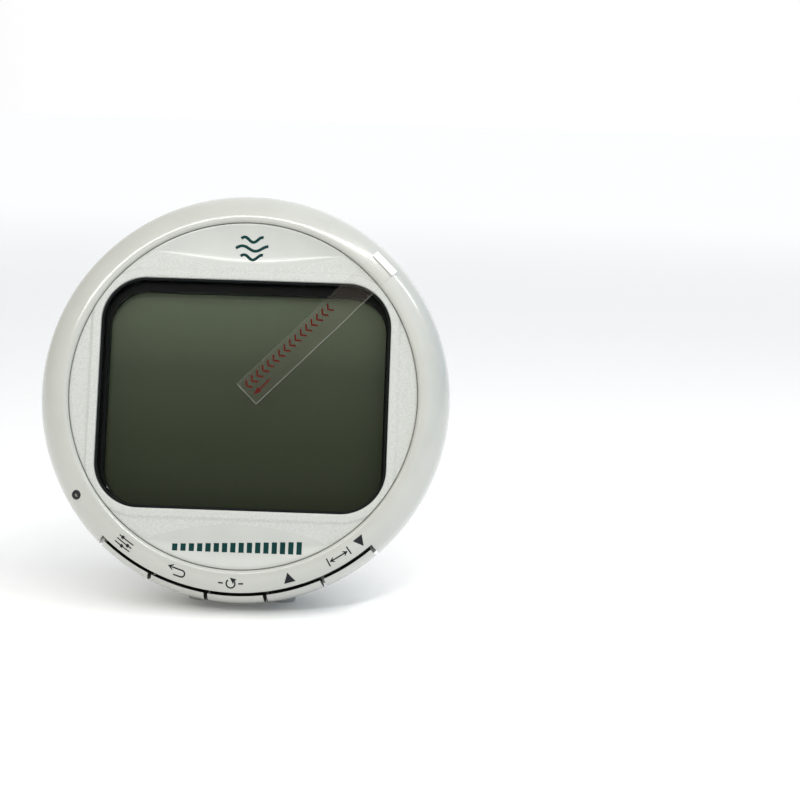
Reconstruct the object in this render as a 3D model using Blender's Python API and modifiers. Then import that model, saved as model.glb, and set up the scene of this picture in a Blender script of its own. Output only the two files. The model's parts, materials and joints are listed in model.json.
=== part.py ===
"""Round desktop carbon dioxide monitor, modelled as an assembly of separate pieces.

Lengths are in metres and the world is +Z up. The pieces are laid out in the instrument's own
frame, which an empty carries: X to the right across the face, Y up the face, Z out of the face,
with Z = 0 at the parting line between the front ring and the rear cover. The empty leans the
face back and sets the instrument down on its feet and its stand.
"""

import math

import bmesh
import bpy
from mathutils import Matrix, Vector

MM = 0.001

# Driving dimensions of the housing.
OUTER_RADIUS = 60.0 * MM
LEAN_BACK = math.radians(15.0)
DESK_DROP = 60.0 * MM
SEGMENTS = 96
GAP = 0.3 * MM

# Front ring: a dome from the crest out to the rim.
CREST_RADIUS = 52.0 * MM
CREST_HEIGHT = 11.5 * MM
RING_BORE = 50.6 * MM
RING_WALL = 1.9 * MM
RING_INNER_STEP = 54.0 * MM
DOME_POWER = 2.2
DOME_STEPS = 8
LEDGE_BORE = 49.0 * MM
LEDGE_OUTER = 53.0 * MM
LEDGE_LOW = 7.2 * MM
LEDGE_TOP = 8.3 * MM

# Rear cover: drafted wall, rounded edge and flat back.
COVER_RADIUS = 59.6 * MM
COVER_WAIST = 57.6 * MM
COVER_EDGE = 10.0 * MM
COVER_BEND = 10.3 * MM
BACK_FACE = -20.3 * MM
COVER_WALL = 2.0 * MM
COVER_ARC_STEPS = 5
VENT_COUNT = 7
VENT_PITCH = 4.2 * MM
VENT_HALF = (15.0 * MM, 0.9 * MM)
VENT_CORNER = 0.85 * MM

# Inner panel and display window.
PANEL_RADIUS = 50.3 * MM
PANEL_BACK = 8.6 * MM
PANEL_ROOT = 9.1 * MM
PANEL_FACE = 10.2 * MM
PLATFORM_FACE = 10.6 * MM
PLATFORM_RIM = 2.6 * MM
PLATFORM_REACH = 49.7 * MM
WINDOW_HALF_X = 42.15 * MM
WINDOW_HALF_Y = 33.55 * MM
WINDOW_CORNER = 13.1 * MM
CORNER_STEPS = 6
GASKET_WIDTH = 1.0 * MM
GASKET_PROUD = 0.2 * MM
LENS_BACK = 8.2 * MM
LENS_FACE = 9.7 * MM
LENS_CHAMFER = 0.3 * MM

# Display stack behind the lens.
DISPLAY_FRAME_HALF = (43.0 * MM, 35.0 * MM)
DISPLAY_FRAME_CORNER = 6.0 * MM
DISPLAY_OPENING_HALF = (39.0 * MM, 30.7 * MM)
DISPLAY_OPENING_CORNER = 9.5 * MM
DISPLAY_OPENING_SHIFT = (0.5 * MM, -0.9 * MM)
DISPLAY_GLASS_HALF = (41.0 * MM, 32.6 * MM)
DISPLAY_FRAME_BACK = 1.2 * MM
DISPLAY_FRAME_FACE = 6.9 * MM
DISPLAY_GLASS_BACK = 1.5 * MM
DISPLAY_GLASS_FACE = 3.7 * MM
DISPLAY_POCKET_DEPTH = 6.0 * MM
BACKLIGHT_HALF = (38.5 * MM, 29.5 * MM)
CONTACT_STRIP_Y = 31.3 * MM
CONTACT_STRIP_SIZE = (70.0 * MM, 2.0 * MM)

# Main circuit board.
BOARD_RADIUS = 49.2 * MM
BOARD_FACE = -1.2 * MM
BOARD_BACK = -2.8 * MM
BOARD_UNDER = BOARD_BACK - GAP
INDICATOR_TONGUE_RADIUS = 51.2 * MM
INDICATOR_TONGUE_SIZE = (10.4 * MM, 6.0 * MM)
INLET_TONGUE_X = 50.0 * MM
INLET_TONGUE_SIZE = (8.0 * MM, 12.0 * MM)

# Power inlet at the right-hand edge.
INLET_SHELL_X = 52.0 * MM
INLET_SHELL_SIZE = (6.0 * MM, 7.6 * MM, 3.0 * MM)
INLET_MOUTH_X = 53.0 * MM
INLET_MOUTH_SIZE = (5.4 * MM, 6.9 * MM, 2.2 * MM)
INLET_CORE_X = 52.2 * MM
INLET_CORE_SIZE = (4.8 * MM, 3.6 * MM, 0.7 * MM)
INLET_SLOT_X = 58.0 * MM
INLET_SLOT_SIZE = (10.0 * MM, 9.0 * MM, 3.9 * MM)
INLET_MIDDLE = BOARD_UNDER - INLET_SHELL_SIZE[2] / 2

# Bosses and screws.
BOSS_PLACES = [(x * 18.2 * MM, y * 38.4 * MM) for x in (-1, 1) for y in (-1, 1)]
BOSS_RADIUS = 3.0 * MM
BOSS_BACK = -3.5 * MM
BOSS_HOLE = 1.5 * MM
BOSS_HOLE_DEPTH = 9.0 * MM
BOSS_CLEARANCE = 0.6 * MM
COVER_BOSS_RADIUS = 3.3 * MM
COVER_BOSS_HOLE = 1.6 * MM
COVER_WELL_RADIUS = 2.9 * MM
COVER_WELL_DEPTH = 3.2 * MM
SCREW_HEAD_RADIUS = 2.5 * MM
SCREW_HEAD_HEIGHT = 1.8 * MM
SCREW_HEAD_CHAMFER = 0.4 * MM
SCREW_SHANK = 1.2 * MM
SCREW_REACH = 5.0 * MM
SCREW_TIP = 0.6 * MM
SCREW_CROSS = (3.2 * MM, 0.7 * MM, 1.6 * MM)
POST_PLACES = [(x * 45.8 * MM, y * 9.0 * MM) for x in (-1, 1) for y in (-1, 1)]
POST_RADIUS = 1.9 * MM
POST_HOLE = 1.1 * MM
POST_HOLE_DEPTH = 5.0 * MM
BOARD_SCREW_HEAD = 1.7 * MM
BOARD_SCREW_HEIGHT = 1.4 * MM
BOARD_SCREW_CROWN = (1.2 * MM, 1.0 * MM)
BOARD_SCREW_SHANK = 0.75 * MM
BOARD_SCREW_REACH = 4.0 * MM
BOARD_SCREW_TIP = 0.4 * MM

# Push buttons along the lower rim.
BUTTON_NAMES = ("button_set", "button_escape", "button_reset", "button_up", "button_down")
BUTTON_PITCH = math.tau * 3 / 64
BUTTON_SIDE_GAP = 1.15 * MM
BUTTON_SLOT_INNER = 57.0 * MM
BUTTON_LIP_RADIUS = 58.1 * MM
BUTTON_BACK = -4.0 * MM
BUTTON_REAR_RADIUS = 59.2 * MM
BUTTON_HOLLOW = 57.0 * MM
BUTTON_SHOULDER = 0.0 * MM
BUTTON_SLOT_SPAN = 2.5 * BUTTON_PITCH + 0.5 * BUTTON_SIDE_GAP / OUTER_RADIUS
BUTTON_SLOT_STEPS = 27
BUTTON_CUTTER_INNER = 54.0 * MM
BUTTON_CUTTER_OUTER = OUTER_RADIUS + 4.0 * MM
BUTTON_ARM_OUTER = 57.5 * MM
BUTTON_ARM_HEIGHT = 2.2 * MM
BUTTON_ARM_SPAN = 2.5 * MM / OUTER_RADIUS
HAMMER_THICKNESS = 1.7 * MM
HAMMER_DROP = 1.3 * MM
PLUNGER_RADIUS = 1.0 * MM
PLUNGER_LENGTH = 3.2 * MM
PLUNGER_TIP = 50.5 * MM
SWITCH_MIDDLE = -5.1 * MM
SWITCH_RADIUS = 46.5 * MM
SWITCH_SIZE = (4.0 * MM, 6.2 * MM, 3.6 * MM)
SWITCH_BORE_DEPTH = 2.5 * MM

# Fold-out stand on the back.
HINGE_Y = -10.0 * MM
HINGE_Z = BACK_FACE - 2.6 * MM
STAND_ANGLE = math.radians(35.0)
STAND_THICKNESS = 2.4 * MM
STAND_TOP_HALF = 12.5 * MM
STAND_TIP_HALF = 14.0 * MM
STAND_TIP_RADIUS = 1.6 * MM
STAND_BARREL = 2.2 * MM
PIN_RADIUS = 1.0 * MM
PIN_PLAY = 0.1 * MM
EAR_INNER = 13.2 * MM
EAR_WIDTH = 3.0 * MM
EAR_RADIUS = 2.6 * MM
EAR_ROOT_WIDTH = 5.2 * MM

# Rubber feet.
FOOT_X = 12.0 * MM
FOOT_RADIUS = 4.0 * MM
FOOT_SETBACK = -2.0 * MM
FOOT_HEIGHT = 6.0 * MM

# Indicator at the lower left of the ring.
INDICATOR_RADIUS = 55.8 * MM
INDICATOR_ANGLE = math.radians(-146.8)
INDICATOR_HOLE = 1.4 * MM
LIGHT_GUIDE_RADIUS = 1.05 * MM
LIGHT_GUIDE_RECESS = 0.9 * MM
LAMP_SIZE = (1.8 * MM, 2.6 * MM, 0.8 * MM)
LAMP_SETBACK = 1.0 * MM

# Protective film that lies across the display and the ring.
FILM_START = (3.05 * MM, 0.05 * MM)
FILM_ANGLE = math.radians(46.9)
FILM_HALF_WIDTH = 3.65 * MM
FILM_THICKNESS = 0.2 * MM
FILM_CLEARANCE = 0.45 * MM
FILM_STEP_AT = 39.5 * MM
FILM_CREST_START = 50.0 * MM
FILM_END_SLOPE = 0.28
FILM_STOPS = (0.0, 20.0, 38.0, 41.0, 46.0, 48.5, 50.5, 52.0, 54.0, 55.5)

# Carbon dioxide sensor module, in the upper half behind the main board.
SENSOR_Y = 16.0 * MM
SENSOR_BOARD_HALF = (23.0 * MM, 12.0 * MM)
SENSOR_BOARD_FACE = -5.6 * MM
SENSOR_BOARD_BACK = -6.8 * MM
CHAMBER_HALF = (13.0 * MM, 6.0 * MM)
CHAMBER_BACK = -14.6 * MM
CHAMBER_TUNNEL = 2.6 * MM
CHAMBER_PORTS = 4
CHAMBER_PORT_PITCH = 5.0 * MM
CHAMBER_PORT_SIZE = (2.4 * MM, 5.0 * MM, 5.0 * MM)
SENSOR_LAMP_RADIUS = 2.2 * MM
SENSOR_DETECTOR_RADIUS = 3.4 * MM
SENSOR_END_LENGTH = 5.0 * MM
SENSOR_FILTER_SIZE = (22.0 * MM, 8.0 * MM, 0.8 * MM)
SENSOR_HEADER_SHIFT = 9.5 * MM


def clear_scene():
    for obj in list(bpy.data.objects):
        bpy.data.objects.remove(obj, do_unlink=True)


def new_collection(name):
    collection = bpy.data.collections.new(name)
    bpy.context.scene.collection.children.link(collection)
    return collection


def new_material(name, color, roughness, metallic=0.0, alpha=1.0):
    material = bpy.data.materials.new(name)
    material.use_nodes = True
    shader = material.node_tree.nodes["Principled BSDF"]
    shader.inputs["Base Color"].default_value = (*color, 1.0)
    shader.inputs["Roughness"].default_value = roughness
    shader.inputs["Metallic"].default_value = metallic
    shader.inputs["Alpha"].default_value = alpha
    return material


clear_scene()
PARTS = new_collection("carbon_dioxide_monitor")
CUTTERS = new_collection("cutters")

INSTRUMENT = bpy.data.objects.new("instrument_frame", None)
PARTS.objects.link(INSTRUMENT)
INSTRUMENT.rotation_euler.x = math.pi / 2 - LEAN_BACK

PEARL = new_material("pearl_plastic", (0.66, 0.67, 0.63), 0.28)
SILVER = new_material("silver_panel", (0.62, 0.64, 0.61), 0.35, 0.4)
BLACK_RUBBER = new_material("black_rubber", (0.015, 0.016, 0.017), 0.7)
GREY_RUBBER = new_material("grey_rubber", (0.40, 0.40, 0.38), 0.6)
BLACK_PLASTIC = new_material("black_plastic", (0.02, 0.02, 0.022), 0.5)
CLEAR = new_material("clear_acrylic", (0.9, 0.92, 0.9), 0.05, alpha=0.25)
FILM = new_material("clear_film", (0.92, 0.93, 0.92), 0.12, alpha=0.3)
DISPLAY = new_material("display_glass", (0.06, 0.075, 0.045), 0.2)
DIFFUSER = new_material("diffuser", (0.85, 0.86, 0.83), 0.5)
CONTACT_RUBBER = new_material("contact_rubber", (0.35, 0.36, 0.37), 0.7)
BOARD = new_material("circuit_board", (0.02, 0.16, 0.06), 0.4)
CHIP = new_material("chip_resin", (0.025, 0.025, 0.028), 0.45)
GOLD = new_material("gilded_chamber", (0.75, 0.56, 0.22), 0.25, 1.0)
STEEL = new_material("steel", (0.6, 0.61, 0.62), 0.3, 1.0)
LAMP_GLASS = new_material("lamp_glass", (0.9, 0.88, 0.8), 0.05, alpha=0.5)
MEMBRANE = new_material("filter_membrane", (0.88, 0.88, 0.86), 0.8)


def add_object(name, mesh, material, helper):
    """Put a mesh in the instrument's frame, as a piece or as a cutter that isn't rendered."""
    obj = bpy.data.objects.new(name, mesh)
    (CUTTERS if helper else PARTS).objects.link(obj)
    obj.parent = INSTRUMENT
    if helper:
        obj.hide_render = True
        obj.display_type = "WIRE"
    else:
        mesh.materials.append(material)
    return obj


def block(name, size, centre, material=None, helper=False):
    """A box of the given size about its centre."""
    builder = bmesh.new()
    bmesh.ops.create_cube(builder, size=1.0)
    bmesh.ops.scale(builder, vec=Vector(size), verts=builder.verts)
    mesh = bpy.data.meshes.new(name)
    builder.to_mesh(mesh)
    builder.free()
    obj = add_object(name, mesh, material, helper)
    obj.location = centre
    return obj


def rod(name, radius, length, centre, material=None, helper=False, along="Z", tip=None, segments=24):
    """A cylinder, or a cone when tip is given, about its centre and along one axis."""
    builder = bmesh.new()
    bmesh.ops.create_cone(
        builder,
        cap_ends=True,
        segments=segments,
        radius1=radius,
        radius2=radius if tip is None else tip,
        depth=length,
    )
    if along == "X":
        turn = Matrix.Rotation(math.pi / 2, 3, "Y")
        bmesh.ops.rotate(builder, cent=Vector(), matrix=turn, verts=builder.verts)
    mesh = bpy.data.meshes.new(name)
    builder.to_mesh(mesh)
    builder.free()
    mesh.shade_smooth()
    mesh.set_sharp_from_angle(angle=math.radians(40))
    obj = add_object(name, mesh, material, helper)
    obj.location = centre
    return obj


def turned(name, profile, material=None, helper=False, segments=SEGMENTS, closed=True):
    """Revolve a profile of (radius, height) points about the local Z axis."""
    count = len(profile)
    mesh = bpy.data.meshes.new(name)
    edges = [(i, (i + 1) % count) for i in range(count if closed else count - 1)]
    mesh.from_pydata([(radius, 0.0, height) for radius, height in profile], edges, [])
    obj = add_object(name, mesh, material, helper)
    screw = obj.modifiers.new("turn", "SCREW")
    screw.steps = segments
    screw.render_steps = segments
    screw.use_merge_vertices = True
    screw.merge_threshold = 0.00001
    return obj


def plate(name, outlines, low, high, material=None, helper=False):
    """Extrude flat outlines between two heights. Outlines inside the first one are holes."""
    curve = bpy.data.curves.new(name, "CURVE")
    curve.dimensions = "2D"
    curve.fill_mode = "BOTH"
    curve.extrude = (high - low) / 2
    for outline in outlines:
        spline = curve.splines.new("POLY")
        spline.points.add(len(outline) - 1)
        for point, (x, y) in zip(spline.points, outline):
            point.co = (x, y, 0.0, 1.0)
        spline.use_cyclic_u = True
    drawing = bpy.data.objects.new(name + "_outline", curve)
    CUTTERS.objects.link(drawing)
    drawing.location.z = (low + high) / 2
    bpy.context.view_layer.update()
    evaluated = drawing.evaluated_get(bpy.context.evaluated_depsgraph_get())
    mesh = bpy.data.meshes.new_from_object(evaluated)
    mesh.name = name
    builder = bmesh.new()
    builder.from_mesh(mesh)
    bmesh.ops.remove_doubles(builder, verts=builder.verts, dist=0.000001)
    bmesh.ops.recalc_face_normals(builder, faces=builder.faces)
    builder.to_mesh(mesh)
    builder.free()
    mesh.materials.clear()
    obj = add_object(name, mesh, material, helper)
    obj.matrix_basis = drawing.matrix_world
    bpy.data.objects.remove(drawing)
    return obj


def boolean(obj, tool, operation):
    modifier = obj.modifiers.new(operation.lower() + "_" + tool.name, "BOOLEAN")
    modifier.operation = operation
    modifier.object = tool
    modifier.solver = "EXACT"


def cut(obj, tool):
    boolean(obj, tool, "DIFFERENCE")


def join(obj, tool):
    boolean(obj, tool, "UNION")


def round_edges(obj, width, segments=2):
    bevel = obj.modifiers.new("round_edges", "BEVEL")
    bevel.width = width
    bevel.segments = segments
    bevel.limit_method = "ANGLE"


def arc(radius, start, end, steps, centre=(0.0, 0.0)):
    """Points along an arc, from one angle to another."""
    points = []
    for step in range(steps + 1):
        angle = start + (end - start) * step / steps
        points.append((centre[0] + radius * math.cos(angle), centre[1] + radius * math.sin(angle)))
    return points


def circle(radius, centre=(0.0, 0.0), steps=24):
    return arc(radius, 0.0, math.tau, steps, centre)[:-1]


def rounded_rectangle(half_x, half_y, radius, centre=(0.0, 0.0), steps=CORNER_STEPS):
    points = []
    signs = ((1, 1), (-1, 1), (-1, -1), (1, -1))
    for quarter, (side_x, side_y) in enumerate(signs):
        corner = (
            centre[0] + side_x * (half_x - radius),
            centre[1] + side_y * (half_y - radius),
        )
        start = quarter * math.pi / 2
        points += arc(radius, start, start + math.pi / 2, steps, corner)
    return points


def window_outline(grow):
    """The display window's outline, moved outward by grow."""
    return rounded_rectangle(WINDOW_HALF_X + grow, WINDOW_HALF_Y + grow, WINDOW_CORNER + grow)


def sector(inner, outer, middle, half_angle, steps):
    """Outline of a stretch of a flat ring."""
    outline = arc(outer, middle - half_angle, middle + half_angle, steps)
    return outline + arc(inner, middle + half_angle, middle - half_angle, steps)


def button_slot(inner):
    """Outline of the whole row of buttons, from an inner radius out past the rim."""
    return sector(inner, BUTTON_CUTTER_OUTER, -math.pi / 2, BUTTON_SLOT_SPAN, BUTTON_SLOT_STEPS)


def polar(radius, angle, height=0.0):
    return (radius * math.cos(angle), radius * math.sin(angle), height)


def dome_height(radius, inset=0.0):
    """Height of the ring's dome at a radius, or of its inner face when inset is given."""
    reach = (radius - CREST_RADIUS) / (OUTER_RADIUS - inset - CREST_RADIUS)
    drop = 1.0 - max(reach, 0.0) ** DOME_POWER
    return (CREST_HEIGHT - inset) * max(drop, 0.0) ** (1.0 / DOME_POWER)


def dome_points(first_radius, inset=0.0):
    """Dome profile from a radius out to the rim, spaced evenly round the bend."""
    rim = OUTER_RADIUS - inset
    reach = max(first_radius - CREST_RADIUS, 0.0) / (rim - CREST_RADIUS)
    start = math.asin(reach ** (DOME_POWER / 2))
    points = []
    for step in range(DOME_STEPS + 1):
        angle = start + (math.pi / 2 - start) * step / DOME_STEPS
        radius = CREST_RADIUS + (rim - CREST_RADIUS) * math.sin(angle) ** (2 / DOME_POWER)
        points.append((radius, dome_height(radius, inset)))
    return points


def cover_points(inset, first_height):
    """Profile of the rear cover's wall, from its front edge down to the flat back."""
    centre = (COVER_WAIST - COVER_BEND, -COVER_EDGE)
    bend = arc(COVER_BEND - inset, 0.0, -math.pi / 2, COVER_ARC_STEPS, centre)
    return [(COVER_RADIUS - inset, first_height)] + bend


def front_ring():
    """Domed ring with a ledge that the panel's rim sits on."""
    lip = [(RING_BORE, CREST_HEIGHT - 1.0 * MM), (RING_BORE + 0.4 * MM, CREST_HEIGHT - 0.3 * MM)]
    inner_dome = [point for point in dome_points(CREST_RADIUS, RING_WALL) if point[0] > RING_INNER_STEP]
    ledge = [
        (LEDGE_OUTER, LEDGE_LOW),
        (LEDGE_BORE, LEDGE_LOW),
        (LEDGE_BORE, LEDGE_TOP),
        (RING_BORE, LEDGE_TOP),
    ]
    profile = lip + dome_points(CREST_RADIUS) + inner_dome[::-1] + ledge
    ring = turned("front_ring", profile, PEARL)
    slot = button_slot(BUTTON_SLOT_INNER)
    cut(ring, plate("ring_button_slot", [slot], -2 * MM, CREST_HEIGHT + 2 * MM, helper=True))
    place = polar(INDICATOR_RADIUS, INDICATOR_ANGLE, 7 * MM)
    cut(ring, rod("indicator_hole", INDICATOR_HOLE, 20 * MM, place, helper=True))


def front_panel():
    """Flat inner panel with the window, a raised platform, screw bosses and board posts."""
    disc = circle(PANEL_RADIUS, steps=SEGMENTS)
    panel = plate("front_panel", [disc, window_outline(0.0)], PANEL_BACK, PANEL_FACE, SILVER)
    platform_lines = [window_outline(PLATFORM_RIM), window_outline(0.0)]
    platform = plate("platform", platform_lines, PANEL_ROOT, PLATFORM_FACE, helper=True)
    trim_line = circle(PLATFORM_REACH, steps=SEGMENTS)
    trim = plate("platform_trim", [trim_line], 0.0, 2 * PLATFORM_FACE, helper=True)
    boolean(platform, trim, "INTERSECT")
    join(panel, platform)
    add_pillars(panel, "panel_boss", BOSS_PLACES, BOSS_RADIUS, BOSS_BACK, BOSS_HOLE, BOSS_HOLE_DEPTH)
    add_pillars(panel, "board_post", POST_PLACES, POST_RADIUS, BOARD_FACE + GAP, POST_HOLE, POST_HOLE_DEPTH)


def add_pillars(panel, name, places, radius, low, hole, depth):
    """Round pillars behind the panel, each with a blind screw hole in its end."""
    length = PANEL_ROOT - low
    for number, (x, y) in enumerate(places, 1):
        centre = (x, y, low + length / 2)
        join(panel, rod(f"{name}_{number}", radius, length, centre, helper=True, segments=16))
        place = (x, y, low)
        cut(panel, rod(f"{name}_hole_{number}", hole, 2 * depth, place, helper=True, segments=12))


def display_window():
    """Gasket, clear lens and the protective film over them."""
    gasket_lines = [window_outline(-GAP), window_outline(-GAP - GASKET_WIDTH)]
    plate("lens_gasket", gasket_lines, LENS_BACK, LENS_FACE + GASKET_PROUD, BLACK_RUBBER)
    lens_line = window_outline(-2 * GAP - GASKET_WIDTH)
    lens = plate("display_lens", [lens_line], LENS_BACK, LENS_FACE, CLEAR)
    round_edges(lens, LENS_CHAMFER, 1)


def film_height(distance):
    """Height of the film's underside along its length, just clear of what it lies on."""
    radius = math.hypot(
        FILM_START[0] + distance * math.cos(FILM_ANGLE),
        FILM_START[1] + distance * math.sin(FILM_ANGLE),
    )
    if distance < FILM_STEP_AT:
        return LENS_FACE + FILM_CLEARANCE
    if radius < FILM_CREST_START:
        return PLATFORM_FACE + FILM_CLEARANCE
    return CREST_HEIGHT + FILM_CLEARANCE - FILM_END_SLOPE * max(radius - CREST_RADIUS, 0.0)


def pull_tab_film():
    """Clear strip that runs from the middle of the lens up over the ring."""
    under = [(stop * MM, film_height(stop * MM)) for stop in FILM_STOPS]
    over = [(along, height + FILM_THICKNESS) for along, height in reversed(under)]
    film = plate("pull_tab_film", [under + over], -FILM_HALF_WIDTH, FILM_HALF_WIDTH, FILM)
    upright = Matrix.Rotation(math.pi / 2, 4, "X")
    aim = Matrix.Rotation(FILM_ANGLE, 4, "Z")
    film.matrix_basis = Matrix.Translation((*FILM_START, 0.0)) @ aim @ upright


def display_stack():
    """Frame, display glass, backlight and the two rubber contact strips."""
    outside = rounded_rectangle(*DISPLAY_FRAME_HALF, DISPLAY_FRAME_CORNER)
    opening = rounded_rectangle(*DISPLAY_OPENING_HALF, DISPLAY_OPENING_CORNER, DISPLAY_OPENING_SHIFT)
    lines = [outside, opening]
    frame = plate("display_frame", lines, DISPLAY_FRAME_BACK, DISPLAY_FRAME_FACE, BLACK_PLASTIC)
    pocket_size = [2 * (half + GAP) for half in DISPLAY_GLASS_HALF] + [DISPLAY_POCKET_DEPTH]
    pocket_middle = DISPLAY_GLASS_FACE + GAP - DISPLAY_POCKET_DEPTH / 2
    cut(frame, block("display_pocket", pocket_size, (0, 0, pocket_middle), helper=True))

    glass_middle = (DISPLAY_GLASS_BACK + DISPLAY_GLASS_FACE) / 2
    glass_thickness = DISPLAY_GLASS_FACE - DISPLAY_GLASS_BACK
    glass_size = [2 * half for half in DISPLAY_GLASS_HALF] + [glass_thickness]
    block("display_glass", glass_size, (0, 0, glass_middle), DISPLAY)

    low = BOARD_FACE + GAP
    high = DISPLAY_GLASS_BACK - GAP
    light_size = [2 * half for half in BACKLIGHT_HALF] + [high - low]
    block("display_backlight", light_size, (0, 0, (low + high) / 2), DIFFUSER)
    for side, name in ((1, "contact_strip_top"), (-1, "contact_strip_bottom")):
        place = (0, side * CONTACT_STRIP_Y, (low + high) / 2)
        block(name, (*CONTACT_STRIP_SIZE, high - low), place, CONTACT_RUBBER)


def main_board():
    """Round circuit board with a tongue under the indicator and one under the power inlet."""
    holes = [circle(BOSS_RADIUS + BOSS_CLEARANCE, place, 16) for place in BOSS_PLACES]
    holes += [circle(POST_HOLE, place, 12) for place in POST_PLACES]
    outline = circle(BOARD_RADIUS, steps=72)
    board = plate("main_board", [outline] + holes, BOARD_BACK, BOARD_FACE, BOARD)
    thickness = BOARD_FACE - BOARD_BACK
    middle = (BOARD_FACE + BOARD_BACK) / 2
    tongue_place = polar(INDICATOR_TONGUE_RADIUS, INDICATOR_ANGLE, middle)
    tongue_size = (*INDICATOR_TONGUE_SIZE, thickness)
    tongue = block("indicator_tongue", tongue_size, tongue_place, helper=True)
    tongue.rotation_euler.z = INDICATOR_ANGLE
    join(board, tongue)
    inlet_size = (*INLET_TONGUE_SIZE, thickness)
    join(board, block("inlet_tongue", inlet_size, (INLET_TONGUE_X, 0, middle), helper=True))


def on_board(name, size, x, y, material):
    """A component standing on the back of the main board."""
    return block(name, size, (x, y, BOARD_UNDER - size[2] / 2), material)


def board_components():
    """Chips, crystal, buzzer, capacitor and the header that carries the sensor module."""
    on_board("processor_chip", (12 * MM, 12 * MM, 1.6 * MM), 0, -14 * MM, CHIP)
    crystal = on_board("timing_crystal", (10.5 * MM, 4.5 * MM, 3.2 * MM), -17 * MM, -14 * MM, STEEL)
    round_edges(crystal, 1.0 * MM)
    on_board("humidity_sensor", (3 * MM, 3 * MM, 1.1 * MM), -38 * MM, -20 * MM, CHIP)
    rod("alarm_buzzer", 6 * MM, 5.5 * MM, (30 * MM, -16 * MM, BOARD_UNDER - 2.75 * MM), BLACK_PLASTIC)
    rod("smoothing_capacitor", 3.1 * MM, 6 * MM, (39 * MM, 14 * MM, BOARD_UNDER - 3 * MM), STEEL)
    header_size = (15.2 * MM, 2.5 * MM, BOARD_UNDER - SENSOR_BOARD_FACE - GAP)
    on_board("sensor_header", header_size, 0, SENSOR_Y + SENSOR_HEADER_SHIFT, CHIP)


def power_inlet():
    """Metal shell of the low-voltage inlet, open to the right, with its contact tongue."""
    place = (INLET_SHELL_X, 0, INLET_MIDDLE)
    shell = block("power_inlet", INLET_SHELL_SIZE, place, STEEL)
    mouth_place = (INLET_MOUTH_X, 0, INLET_MIDDLE)
    cut(shell, block("inlet_mouth", INLET_MOUTH_SIZE, mouth_place, helper=True))
    core_place = (INLET_CORE_X, 0, INLET_MIDDLE)
    join(shell, block("inlet_core", INLET_CORE_SIZE, core_place, helper=True))


def indicator():
    """Indicator lamp on the board's tongue and the clear rod that carries its light to the face."""
    lamp_low = BOARD_FACE + GAP
    lamp_high = lamp_low + LAMP_SIZE[2]
    place = polar(INDICATOR_RADIUS - LAMP_SETBACK, INDICATOR_ANGLE, (lamp_low + lamp_high) / 2)
    lamp = block("status_lamp", LAMP_SIZE, place, DIFFUSER)
    lamp.rotation_euler.z = INDICATOR_ANGLE
    low = lamp_high + GAP
    high = dome_height(INDICATOR_RADIUS) - LIGHT_GUIDE_RECESS
    place = polar(INDICATOR_RADIUS, INDICATOR_ANGLE, (low + high) / 2)
    rod("light_guide", LIGHT_GUIDE_RADIUS, high - low, place, CLEAR)


def sensor_module():
    """Infrared gas sensor: board, gilded chamber, lamp, detector and dust filter."""
    middle = (SENSOR_BOARD_FACE + SENSOR_BOARD_BACK) / 2
    size = [2 * half for half in SENSOR_BOARD_HALF] + [SENSOR_BOARD_FACE - SENSOR_BOARD_BACK]
    block("sensor_board", size, (0, SENSOR_Y, middle), BOARD)
    chamber_top = SENSOR_BOARD_BACK - GAP
    chamber_height = chamber_top - CHAMBER_BACK
    chamber_middle = (chamber_top + CHAMBER_BACK) / 2
    chamber_size = [2 * half for half in CHAMBER_HALF] + [chamber_height]
    chamber = block("sensor_chamber", chamber_size, (0, SENSOR_Y, chamber_middle), GOLD)
    round_edges(chamber, 1.0 * MM)
    tunnel_place = (0, SENSOR_Y, chamber_middle)
    tunnel_length = 2 * CHAMBER_HALF[0] + 4 * MM
    cut(chamber, rod("chamber_tunnel", CHAMBER_TUNNEL, tunnel_length, tunnel_place, helper=True, along="X"))
    for number in range(CHAMBER_PORTS):
        port = ((number - (CHAMBER_PORTS - 1) / 2) * CHAMBER_PORT_PITCH, SENSOR_Y, CHAMBER_BACK)
        cut(chamber, block(f"chamber_port_{number}", CHAMBER_PORT_SIZE, port, helper=True))
    ends = (
        ("sensor_lamp", SENSOR_LAMP_RADIUS, -1, LAMP_GLASS),
        ("sensor_detector", SENSOR_DETECTOR_RADIUS, 1, STEEL),
    )
    for name, radius, side, material in ends:
        x = side * (CHAMBER_HALF[0] + GAP + SENSOR_END_LENGTH / 2)
        rod(name, radius, SENSOR_END_LENGTH, (x, SENSOR_Y, chamber_middle), material, along="X")
    filter_place = (0, SENSOR_Y, CHAMBER_BACK - GAP - SENSOR_FILTER_SIZE[2] / 2)
    block("sensor_dust_filter", SENSOR_FILTER_SIZE, filter_place, MEMBRANE)


def button_profile():
    """Section of a push button: the rim's dome, a straight back edge and a hollow inside."""
    return dome_points(BUTTON_LIP_RADIUS) + [
        (BUTTON_REAR_RADIUS, BUTTON_BACK),
        (BUTTON_HOLLOW, BUTTON_BACK),
        (BUTTON_HOLLOW, BUTTON_SHOULDER),
        (BUTTON_LIP_RADIUS, BUTTON_SHOULDER),
    ]


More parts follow.
